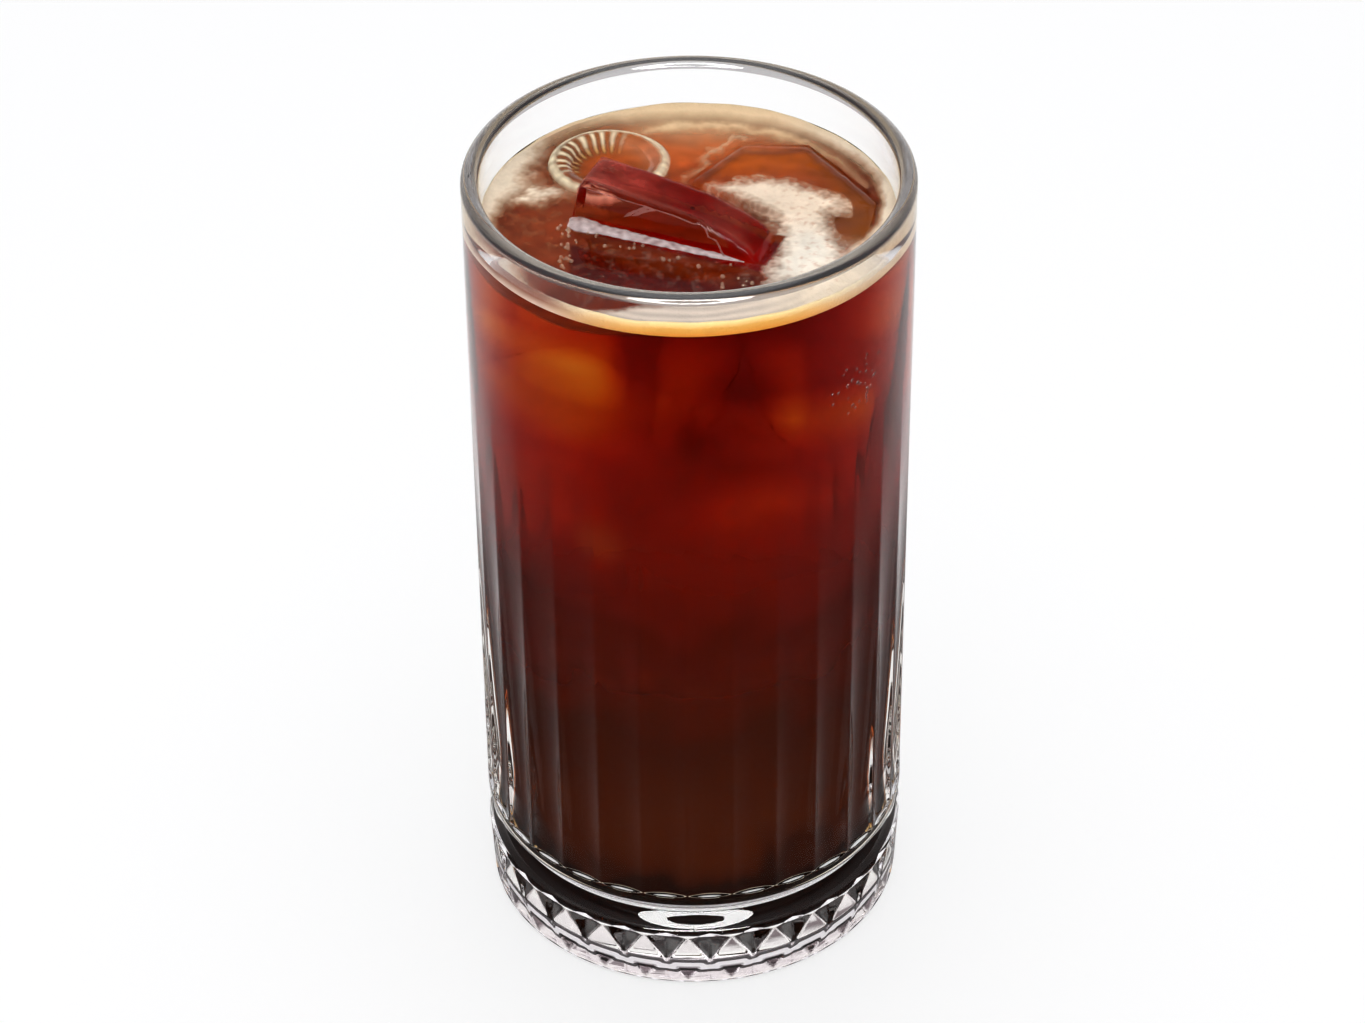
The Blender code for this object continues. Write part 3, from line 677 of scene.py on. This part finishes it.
# over the slab: painted light, lighter to the back and darker to the right, with a band of painted shade along its
# edges
slab_edge_shade = inside(x, y, SLAB_PLAN, 2.6)
over_slab_light_and_shade = tinted((0.34, 0.050, 0.006),
                   (ramp(y, 8.0, 20.0), (0.50, 0.12, 0.008)),
                   (ramp(x, 16.0, 30.0), (0.31, 0.085, 0.008)),
                   (1.1 * slab_edge_shade * (1 - slab_edge_shade), (0.13, 0.032, 0.008)))
colours = tinted(colours, (inside(x, y, SLAB_PLAN, 1.6), over_slab_light_and_shade),
                 (inside(x, y, BAR_PLAN, 0.8), (0.36, 0.008, 0.004)))
streak = 1.0 + 0.28 * soft_noise(x, y * 2.2, 0.16, 8.0) + 0.12 * soft_noise(x, y, 0.5, 2.0)
colours = np.clip(colours * np.clip(streak, 0.6, 1.4)[..., None], 0, 1)
wall = bore_level - np.hypot(x, y)
at_back = ramp(y / np.hypot(x, y), -0.3, 0.3)
edge_fade = ramp(wall / foam_reach(x, y), 0.55, 0.95) * (1 - at_back) + ramp(wall, 0.2, 1.2) * at_back
haze_mesh = painted_mesh("haze", x, y, haze_z, colours, HAZE_COVER * edge_fade, haze_faces)
add_piece("coffee_haze_and_painted_light", haze_mesh, "black_coffee", painted_material("coffee_haze_and_painted_light", (0.3, 0.06, 0.02), 0.7))

# ---------------------------------------------------------------- foam
# Pale foam of fine bubbles floats on the drink and climbs the wall, widest in front, with a drift of it between
# the blocks. It is one sheet, lifted where it is thick, with ragged edges and open places like lace, and with
# a skirt of four rows down the wall.
FOAM_LIFT, FOAM_CLIMB, FOAM_DROP_BEHIND, FOAM_COLUMNS = 0.05, 3.1, 2.1, 600
PATCH = [(3.3, 7.0), (11.2, 9.4), (16.8, 8.8), (25.7, 3.4), (26.6, -0.7), (22.7, -0.6), (23.6, -6.7), (26.0, -13.0),
         (21.0, -20.0), (12.2, -21.5), (15.5, -8.6), (14.3, -1.5), (10.0, 2.7)]
SMEAR = [(-31.1, 6.6), (-26.1, 9.6), (-20.4, 8.9), (-20.4, 5.4), (-26.5, 3.4), (-31.0, 3.5)]
DRIFT = [(1.1, 14.1), (3.6, 20.2), (8, 25), (12, 24.4), (6.2, 21.5), (2.4, 15.0), (-1.5, 10.1)]
foam_r = np.concatenate([np.linspace(6.0, 29.0, 80), np.linspace(29.2, bore_level - 0.35, 40),
                         bore_level + np.array([-0.1, 0.0, 0.08, 0.12])])
x, y, foam_faces = polar_sheet(foam_r, FOAM_COLUMNS)
wall = bore_level - np.hypot(x, y)
azimuth = np.degrees(np.arctan2(y, x))
soft = 2.4 + 4.2 * np.exp(-((azimuth - 90) / 50) ** 2) + 3.4 * np.exp(-((azimuth - 150) / 28) ** 2)
ragged = soft_noise(x, y, 0.16, 11.0) + 0.5 * soft_noise(x, y, 0.5, 12.0) + 0.25 * soft_noise(x, y, 1.4, 13.0)
calm = 1 - 0.75 * np.exp(-((azimuth - 82) / 52) ** 4)
wander = 1.2 * soft_noise(x, y, 0.3, 31.0) + 0.4 * soft_noise(x, y, 1.1, 32.0)
lace = 0.6 * soft_noise(x, y, 0.5, 51.0) + 0.5 * soft_noise(x, y, 1.3, 52.0)
patch = inside(x + wander, y - wander, PATCH, 6.5)
smear = inside(x + wander, y - wander, SMEAR, 4.0)
drift = inside(x + wander, y - wander, DRIFT, 2.6)
amount = 0.5 + (foam_reach(x, y) - wall) / soft + 0.40 * ragged * calm
amount = np.maximum(amount, 1.35 * patch - 0.2 + 0.6 * lace * (1.15 - patch) - 0.6 * (patch < 0.02))
amount = np.maximum(amount, 0.9 * smear + 0.3 * lace - 0.1)
amount = np.clip(np.maximum(amount, 0.6 * drift + 0.25 * lace), 0, 1)
film = 0.55 * blob(x, y, 2, 31, 28, 9) + 0.25 * blob(x, y, 24, 22, 12, 6, -40) + 0.35 * blob(x, y, 25, -6, 5, 8)
pale_arc = np.exp(-(np.abs(np.hypot(x - 2, y + 1.0) - 29.3 + 0.9 * wander) / 1.2) ** 2) * (y > 8) * (x > -12)
pores = ramp(soft_noise(x, y, 0.9, 81.0) + 0.5 * soft_noise(x, y, 2.2, 82.0), 0.05, 0.75)
colours = tinted((0.60, 0.33, 0.17),
                 (1.25 * amount - 0.15, (0.72, 0.62, 0.49)),
                 (0.8 * patch, (0.74, 0.62, 0.50)),
                 (0.8 * patch * ramp(y, 0.0, -10.0), (0.75, 0.71, 0.63)),
                 (0.55 * pores * ramp(x, 8.0, 24.0) * (patch > 0.02), (0.46, 0.22, 0.13)))
colours = colours * (1 + 0.12 * lace * calm + 0.12 * soft_noise(x, y, 0.22, 83.0))[..., None]
in_front = np.exp(-((azimuth + 98) / 42) ** 4)
lines = 0.5 + 0.5 * np.sin(wall * 4.2 + 1.6 * soft_noise(azimuth * 0.06, wall * 0.4, 1.0, 61.0))
colours = tinted(colours, (0.7 * blob(x, y, 2, 34, 32, 13), (0.80, 0.60, 0.36)),
                 (pale_arc * 0.35, (0.86, 0.74, 0.5)),
                 (in_front * 0.8, (0.60, 0.52, 0.46))) * (1 - 0.22 * in_front * lines)[..., None]
cover = np.maximum(np.clip(amount * 1.1, 0, 1), np.clip(film + 0.3 * pale_arc, 0, 0.9) * (0.9 + 0.25 * ragged))
cover = cover * (1 - inside(x, y, BAR_PLAN, 0.5)) * (1 - inside(x, y, SLAB_PLAN, 0.8) * (patch < 0.3) * 0.8)
cover = np.clip(cover * (1 - blob(x, y, *CUP_AT, 9.6, 9.6) * 1.6), 0, 1)
rear = ramp(np.abs(np.mod(azimuth - 90 + 180, 360) - 180)[0], 120.0, 60.0)
climb = FOAM_CLIMB - FOAM_DROP_BEHIND * rear + 0.3 * soft_noise(20 * x[0], 20 * y[0], 0.05, 4.0)
foam_z = LEVEL + FOAM_LIFT + 0.5 * amount ** 0.7 + (climb - 0.4) * np.exp(-np.maximum(wall, 0) / 0.7)
on_slab = inside(x, y, SLAB_PLAN, 0.6)
foam_z = foam_z * (1 - on_slab) + on_slab * np.maximum(foam_z, LEVEL + 1.55 - 0.026 * x)
# the skirt: each row's height over the drink, then its pale, orange and dark-left colours
orange = np.exp(-((azimuth[0] + 84) / 36) ** 4)
at_left = ramp(azimuth[0], -116.0, -134.0) * ramp(azimuth[0], -180.0, -158.0)
for row, lift, pale, deep, shade in (
        (-4, climb, (0.70, 0.62, 0.50), (0.80, 0.66, 0.38), (0.24, 0.10, 0.075)),
        (-3, climb - 0.3, (0.70, 0.60, 0.46), (0.78, 0.60, 0.30), (0.22, 0.075, 0.05)),
        (-2, climb - 1.3, (0.66, 0.52, 0.38), (0.74, 0.42, 0.12), (0.30, 0.12, 0.085)),
        (-1, 0.45 - 4.0 * rear, (0.60, 0.42, 0.26), (0.70, 0.30, 0.05), (0.74, 0.6, 0.5))):
    foam_z[row] = LEVEL + lift
    colours[row] = tinted(pale, (orange, deep), (rear, (0.74, 0.60, 0.40)), (0.9 * at_left, shade))
cover[-6:] = 1.0
foam_mesh = painted_mesh("foam_fine", x, y, foam_z, colours, cover, foam_faces)
foam_skin = make_uneven(painted_material("coffee_foam_fine", (0.86, 0.72, 0.5), 0.5), 1500.0, 0.0002)
foam_piece = add_piece("foam_fine", foam_mesh, "coffee_foam", foam_skin)
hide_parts("foam")

# ---------------------------------------------------------------- froth at the foot of the standing ice
# A narrow band of pale froth clings to the standing block where it enters the drink, on the side that faces
# -Y. It is a low rounded strip along the block's face, from the drink up on to the ice.
FROTH_GAP, FROTH_STEPS = 0.05, 160
bar_along = np.array([math.cos(math.radians(BAR_TURN)), math.sin(math.radians(BAR_TURN))])
bar_outward = np.array([bar_along[1], -bar_along[0]])


def on_bar(along, outward):
    """Plan places at distances along the standing block and outward from its middle plane."""
    return np.array(BAR_AT) + np.multiply.outer(along, bar_along) + np.multiply.outer(outward, bar_outward)


along = np.linspace(-18.3, 13.2, FROTH_STEPS)
wide = np.interp(along, [-18.3, -16.5, -12, 0, 9, 13.2], [0.8, 1.7, 1.1, 0.75, 0.6, 0.1])
wide = wide * (1 + 0.3 * soft_noise(along, along * 0, 0.7, 3.0))
froth_section = np.array([(1.45, 0.12, 0.0), (1.2, 0.2, 0.9), (0.7, 0.45, 1.0), (0.25, 0.62, 1.0), (0.1, 1.0, 1.0),
                          (0.05, 1.3, 0.9), (0.02, 1.5, 0.0)])
out, up, cover = froth_section.T[..., None]
plan = on_bar(np.broadcast_to(along, (len(froth_section), len(along))), BAR_HALF + FROTH_GAP + out * wide)
froth_z = LEVEL + 0.1 + up * wide * 0.8
bump = soft_noise(plan[..., 0], froth_z * 3, 0.9, 7.0)
froth_colours = (1 + 0.16 * bump)[..., None] * np.array([0.62, 0.55, 0.54])
froth_mesh = painted_mesh("froth", plan[..., 0], plan[..., 1], froth_z, froth_colours,
                          np.clip(cover * (0.85 + 0.5 * bump), 0, 1),
                          quads_between(len(froth_section), len(along), round_again=False))
add_piece("froth_on_ice", froth_mesh, "coffee_foam",
          make_uneven(painted_material("froth", (0.6, 0.55, 0.54), 0.5), 2500.0, 0.0002))

# ---------------------------------------------------------------- melt film on the standing ice
# The standing block's top is wet with melted ice and a little coffee: a dull dark red film in streaks, thin
# enough to see through, with a pale line of painted highlight along its front edge. It is a sheet that follows the
# block's top line and falls off at its edges.
x, y = np.meshgrid(np.linspace(-16.6, 14.6, 90), np.linspace(-4.2, 4.2, 24), indexing="ij")
film_z = np.interp(x, *zip(*BAR_SIDE[:2:-1])) + 0.25
film_z -= 0.9 * np.maximum(0, np.abs(y) - 3.4) ** 2 + 0.9 * np.maximum(0, -16.0 - x)
melt = soft_noise(x * 0.5, y, 0.4, 71.0) + 0.5 * soft_noise(x, y, 1.1, 72.0)
film_cover = (0.36 + 0.24 * ramp(x, 6.0, -14.0)) * (1 + 0.5 * melt) * ramp(np.abs(y), 4.2, 3.4)
film_stops = [-16.0, -10.0, -3.0, 3.0, 6.5, 10.5, 14.0]
film_red = (0.36, 0.33, 0.27, 0.15, 0.22, 0.27, 0.14)
film_green = (0.10, 0.066, 0.038, 0.012, 0.05, 0.072, 0.012)
film_blue = (0.075, 0.05, 0.028, 0.008, 0.035, 0.05, 0.008)
film_tint_and_highlight = np.stack([np.interp(x, film_stops, channel) for channel in (film_red, film_green, film_blue)], -1)
# painted highlight: a pale mauve line along the film's front edge, for light on the block's rounded top edge
film_tint_and_highlight = tinted(film_tint_and_highlight * (1 + 0.35 * melt)[..., None], (0.5 * ramp(y, -3.0, -3.9), (0.50, 0.22, 0.18)))
plan = on_bar(x, -y)
film_mesh = painted_mesh("melt_film_and_highlight", plan[..., 0], plan[..., 1], film_z, film_tint_and_highlight, np.clip(film_cover, 0, 0.7),
                         quads_between(*x.shape, round_again=False))
add_piece("melt_film_and_highlight_on_ice", film_mesh, "clear_ice", painted_material("melt_film_and_highlight", (0.27, 0.034, 0.026), 0.25))

# ---------------------------------------------------------------- cracks and a painted highlight on the ice
# Fine pale cracks and chipped edges run along the upper face of the standing block, and a pale line along its top
# edge is a painted highlight. Each is a narrow ribbon just proud of the face, as thick as its half width times a
# random share, and closed at its ends.
CRACK_GAP = 0.45
# painted highlight: this pale line along the top edge stands for light on the block's rounded edge
RIDGE_HIGHLIGHT = [(-15.4, 148.9), (-10.0, 148.4), (-4.0, 147.9), (0.6, 147.4), (4.4, 146.6), (5.5, 146.9)]
CRACK = [(5.5, 147.0), (6.6, 146.0), (6.9, 144.7), (8.3, 144.3), (8.9, 143.3), (9.3, 142.3), (9.8, 141.5)]
CHIPS = [(-8.3, 144.8), (-6.2, 146.5), (-4.1, 147.8), (-2.6, 147.6), (-4.6, 146.9), (-6.8, 145.4)]
rng = np.random.default_rng(3)
crack_points, crack_faces, crack_count = [], [], 0
for line, half in ((RIDGE_HIGHLIGHT, 0.13), (CRACK, 0.17), (CHIPS, 0.26)):
    steps = np.linspace(0, len(line) - 1, 4 * (len(line) - 1) + 1)
    along, up = (np.interp(steps, np.arange(len(line)), axis) for axis in zip(*line))
    run_along, run_up = np.gradient(along), np.gradient(up)
    thick = half * (0.5 + rng.random(len(steps))) / np.hypot(run_along, run_up)
    thick[[0, -1]] = 0.01
    side = np.array([[-1], [1]])
    plan = on_bar(along - side * thick * run_up, np.full((2, len(steps)), BAR_HALF + CRACK_GAP))
    crack_points.append(np.concatenate([plan, (up + side * thick * run_along)[..., None]], -1).reshape(-1, 3))
    crack_faces.append(quads_between(2, len(steps), round_again=False)[:, ::-1] + crack_count)
    crack_count += len(crack_points[-1])
crack_mesh = mesh_of("cracks", np.concatenate(crack_points), *crack_faces, smooth=False)
crack_and_highlight_tint = plain_material("crack_and_highlight", (0.62, 0.36, 0.33), 0.5)
surface_of(crack_and_highlight_tint).inputs["Alpha"].default_value = 0.45
add_piece("cracks_and_highlight_on_ice", crack_mesh, "clear_ice", crack_and_highlight_tint)

# ---------------------------------------------------------------- rime on the hollow cube
# A dry white rime lies on the hollow cube's crest and runs in rays down into its hollow, deepest at the upper
# left. It is a thin painted sheet that follows the cube's top just above it.
RIME_AT, RIME_LIFT, RIME_COLUMNS = (-13.7, 16.5), 0.12, 360
rime_r = np.array([4.5, 4.9, 5.3, 5.7, 6.1, 6.5, 6.9, 7.3, 7.7, 8.1, 8.5, 9.0, 9.5, 10.0, 10.35, 10.6])
x, y, rime_faces = polar_sheet(rime_r, RIME_COLUMNS)
from_middle, turn = np.hypot(x, y), np.degrees(np.arctan2(y, x))
rime_z = CUP_TOP + RIME_LIFT - np.interp(from_middle, [4.5, 5.9, 6.5, 7.3, 8.1, 9.0, 10.0, 10.6],
                                         [3.2, 2.0, 1.0, 0.2, 0.02, 0.0, 0.35, 1.6])
x, y = x + RIME_AT[0], y + RIME_AT[1]
spokes = 0.5 + 0.5 * np.cos(np.radians(turn * 26) + 2.0 * soft_noise(x, y, 0.25, 41.0))
crest = np.exp(-((from_middle - 9.7 - 0.25 * soft_noise(x, y, 0.2, 43.0)) / 0.75) ** 4)
slope = ramp(from_middle, 9.2, 8.4) * ramp(from_middle, 4.5, 5.8)
upper_left = ramp(np.abs(np.mod(turn - 140 + 180, 360) - 180), 85.0, 45.0)
cover = np.maximum(crest * (0.85 + 0.4 * soft_noise(x, y, 0.8, 42.0)), slope * upper_left * (0.25 + 0.7 * spokes))
cover = np.clip(cover * (1 - inside(x, y, BAR_PLAN, 0.6)), 0, 1)
colours = tinted((0.74, 0.66, 0.48), (slope * (1 - spokes), (0.34, 0.12, 0.03)))
rime_mesh = painted_mesh("rime", x, y, rime_z, colours, cover, rime_faces)
add_piece("rime_on_hollow_ice", rime_mesh, "coffee_foam", painted_material("rime", (0.66, 0.6, 0.44), 0.5))

# ---------------------------------------------------------------- bubbles
# Small single bubbles of coffee sit on the drink, in a row at the standing block's left end, along its face
# and in front of the slab. Each is a thin-skinned ball that stands mostly out of the drink.


def balls(name, places):
    """One mesh of small balls, each of a radius and put in its place by a matrix."""
    shape = bmesh.new()
    for ball_r, place in places:
        bmesh.ops.create_icosphere(shape, subdivisions=2, radius=ball_r, matrix=place)
    bmesh.ops.scale(shape, vec=(0.001,) * 3, verts=shape.verts)
    bmesh.ops.recalc_face_normals(shape, faces=shape.faces)
    mesh = bpy.data.meshes.new(name)
    shape.to_mesh(mesh)
    shape.free()
    mesh.shade_smooth()
    return mesh


rng = np.random.default_rng(7)
spots = [(-20.2 + rng.normal(0, 0.7), rng.uniform(-15.5, -2.5)) for _ in range(26)]
spots += [tuple(on_bar(t, rng.uniform(5.6, 9.0))) for t in rng.uniform(-17.0, 12.0, 16)]
spots += [(rng.uniform(5, 14), rng.uniform(-22, -18)) for _ in range(8)]
bubble_places = []
for bubble_x, bubble_y in spots:
    bubble_r = rng.uniform(0.18, 0.42)
    bubble_places.append((bubble_r, Matrix.Translation((bubble_x, bubble_y, LEVEL + 0.3 * bubble_r))))
add_piece("bubbles", balls("bubbles", bubble_places), "coffee_foam",
          plain_material("bubble_skin", (0.9, 0.75, 0.6), 0.05, 0.8, 1.2))

# ---------------------------------------------------------------- droplets
# Fine beads of condensed water hang on the outside of the wall, at the right, below the level of the drink.
# Each is a low dome whose other half lies in the glass, so that no gap shows under it.
BEAD_FLATNESS = Matrix.Diagonal((0.5, 1, 1.1, 1))
rng = np.random.default_rng(11)
bead_places = []
for _ in range(34):
    turned_by = math.radians(rng.normal(-43.0, 5.0))
    bead_z = rng.uniform(119.5, 129.5)
    bead_r = rng.uniform(0.16, 0.36)
    sit = Matrix.Translation(((BODY - 0.05) * math.cos(turned_by), (BODY - 0.05) * math.sin(turned_by), bead_z))
    bead_places.append((bead_r, sit @ Matrix.Rotation(turned_by, 4, "Z") @ BEAD_FLATNESS))
add_piece("droplets_on_wall", balls("droplets", bead_places), "clear_glass",
          plain_material("droplet_water", CLEAR, 0.0, 1.0, WATER_BEND))

# ---------------------------------------------------------------- table
# A matt white table top, evenly lit, a little darker further out. Seen in the polish of the glass, its near
# part is as dark as a black card beside the lens would make it, which keeps the polish free of a white veil.
TABLE_HALF, TABLE_GLOW = 4000.0, 0.725
CARD_DARKNESS = 0.78


def stage_piece(name, mesh, material, place):
    """Link a mesh at its place as a part of the stage."""
    mesh.materials.append(material)
    piece = bpy.data.objects.new(name, mesh)
    bpy.context.scene.collection.objects.link(piece)
    piece.location = place
    return piece


def mirrored(tree):
    """1 for a ray that has just been mirrored off polish, 0 for every other."""
    path = tree.nodes.new("ShaderNodeLightPath")
    straight = math_node(tree, "SUBTRACT", 1.0, path.outputs["Is Transmission Ray"])
    return math_node(tree, "MULTIPLY", path.outputs["Is Glossy Ray"], straight)


table = plain_material("table_white", (0.19, 0.19, 0.19), 0.6)
surface_of(table).inputs["Emission Strength"].default_value = TABLE_GLOW
top = table.node_tree
spot = top.nodes.new("ShaderNodeTexCoord").outputs["Object"]
away = distance_node(top, spot, (0.0, 0.0, 0.0))
table_tone = ramp_node(top, away, ((0.0, (1, 1, 1)), (0.12, (1, 1, 1)), (0.45, (0.96, 0.963, 0.967)),
                                   (1.0, (0.90, 0.905, 0.91))))
near_side = share_node(top, axes_node(top, spot)["Y"], 0.10, 0.0)
shade = math_node(top, "MULTIPLY", math_node(top, "MULTIPLY", mirrored(top), near_side), CARD_DARKNESS)
# far out the table is as bright as the room, so that no hard horizon shows
far_off = share_node(top, away, 0.9, 3.0, 1.0, 1.75)
light = top.nodes.new("ShaderNodeVectorMath")
light.operation = "SCALE"
top.links.new(table_tone, light.inputs[0])
top.links.new(math_node(top, "MULTIPLY", math_node(top, "SUBTRACT", 1.0, shade), far_off), light.inputs["Scale"])
top.links.new(light.outputs[0], surface_of(table).inputs["Emission Color"])
table_corners = np.array([(-1, -1, 0), (1, -1, 0), (1, 1, 0), (-1, 1, 0)]) * TABLE_HALF
stage_piece("floor", mesh_of("floor", table_corners, np.array([(0, 1, 2, 3)]), smooth=False), table, (0, 0, -0.0002))

# ---------------------------------------------------------------- lamp
# A round lamp with an open middle stands beyond the camera. It shows in the polish alone, as an ellipse of
# light on the shoulder of the foot.
LAMP_INNER, LAMP_OUTER = 360.0, 760.0
LAMP_ELEVATION, LAMP_AWAY, LAMP_GLOW = math.radians(27), 1.5, 22.0
x, y, lamp_faces = polar_sheet([LAMP_INNER, LAMP_OUTER], 64)
lamp_mesh = mesh_of("lamp", np.stack([x, y, 0 * x], -1).reshape(-1, 3), lamp_faces, smooth=False)
lamp_white = plain_material("lamp_glow", (0.0, 0.0, 0.0), 0.5)
surface_of(lamp_white).inputs["Emission Color"].default_value = (1.0, 1.0, 1.0, 1)
surface_of(lamp_white).inputs["Emission Strength"].default_value = LAMP_GLOW
lamp_at = Vector((0.0, -math.cos(LAMP_ELEVATION), math.sin(LAMP_ELEVATION))) * LAMP_AWAY
lamp = stage_piece("lamp", lamp_mesh, lamp_white, lamp_at)
lamp.rotation_euler = (-lamp_at).to_track_quat("-Z", "Y").to_euler()
lamp.visible_camera = lamp.visible_diffuse = lamp.visible_transmission = lamp.visible_shadow = False

# ---------------------------------------------------------------- room
# A pale room, bright overhead and dim at eye level. Seen in the polish, its low part in front and at the
# sides is held back as the table is.
ROOM_LIGHT, HELD_BACK = 1.3, 1.05
world = bpy.data.worlds.new("room")
bpy.context.scene.world = world
world.use_nodes = True
room = world.node_tree
axes = axes_node(room, room.nodes.new("ShaderNodeTexCoord").outputs["Generated"])
room_tone = ramp_node(room, axes["Z"], (
    (0.0, (0.95, 0.95, 0.96)), (0.22, (0.9, 0.9, 0.92)), (0.42, (0.42, 0.42, 0.44)), (0.72, (0.5, 0.5, 0.52)),
    (0.88, (1.6, 1.6, 1.62)), (1.0, (2.2, 2.2, 2.2))))
low, in_front = share_node(room, axes["Z"], 0.92, 0.78), share_node(room, axes["Y"], 0.75, 0.35)
held_back = math_node(room, "MULTIPLY", mirrored(room), math_node(room, "MULTIPLY", low, in_front))
strength = math_node(room, "SUBTRACT", ROOM_LIGHT, math_node(room, "MULTIPLY", held_back, HELD_BACK))
room.links.new(room_tone, room.nodes["Background"].inputs["Color"])
room.links.new(strength, room.nodes["Background"].inputs["Strength"])

# ---------------------------------------------------------------- camera
# A long lens from well above, turned a little about its own axis, and a plain view with many bounces of light
# for glass, drink and ice one behind the other.
FOCAL_PIXELS, FRAME_PIXELS, SENSOR = 4082.35, 1365, 36.0
LIGHT_BOUNCES, SEE_THROUGH_BOUNCES = 28, 16
camera_data = bpy.data.cameras.new("camera")
camera_data.sensor_width = SENSOR
camera_data.lens = FOCAL_PIXELS / FRAME_PIXELS * SENSOR
camera_data.clip_start, camera_data.clip_end = 0.01, 50.0
camera = bpy.data.objects.new("camera", camera_data)
bpy.context.scene.collection.objects.link(camera)
camera.location = (-0.00165, -0.57544, 0.51443)
aim = Vector((-0.001645, 0.0, 0.07881)) - camera.location
roll = Matrix.Rotation(-0.0104, 3, "Z")
camera.rotation_euler = (aim.to_track_quat("-Z", "Y").to_matrix() @ roll).to_euler()
scene = bpy.context.scene
scene.camera = camera
scene.view_settings.view_transform = "Standard"
scene.view_settings.look = "None"
scene.view_settings.exposure = 0.0
scene.view_settings.gamma = 0.82
scene.cycles.max_bounces = scene.cycles.glossy_bounces = scene.cycles.transmission_bounces = LIGHT_BOUNCES
scene.cycles.transparent_max_bounces = SEE_THROUGH_BOUNCES
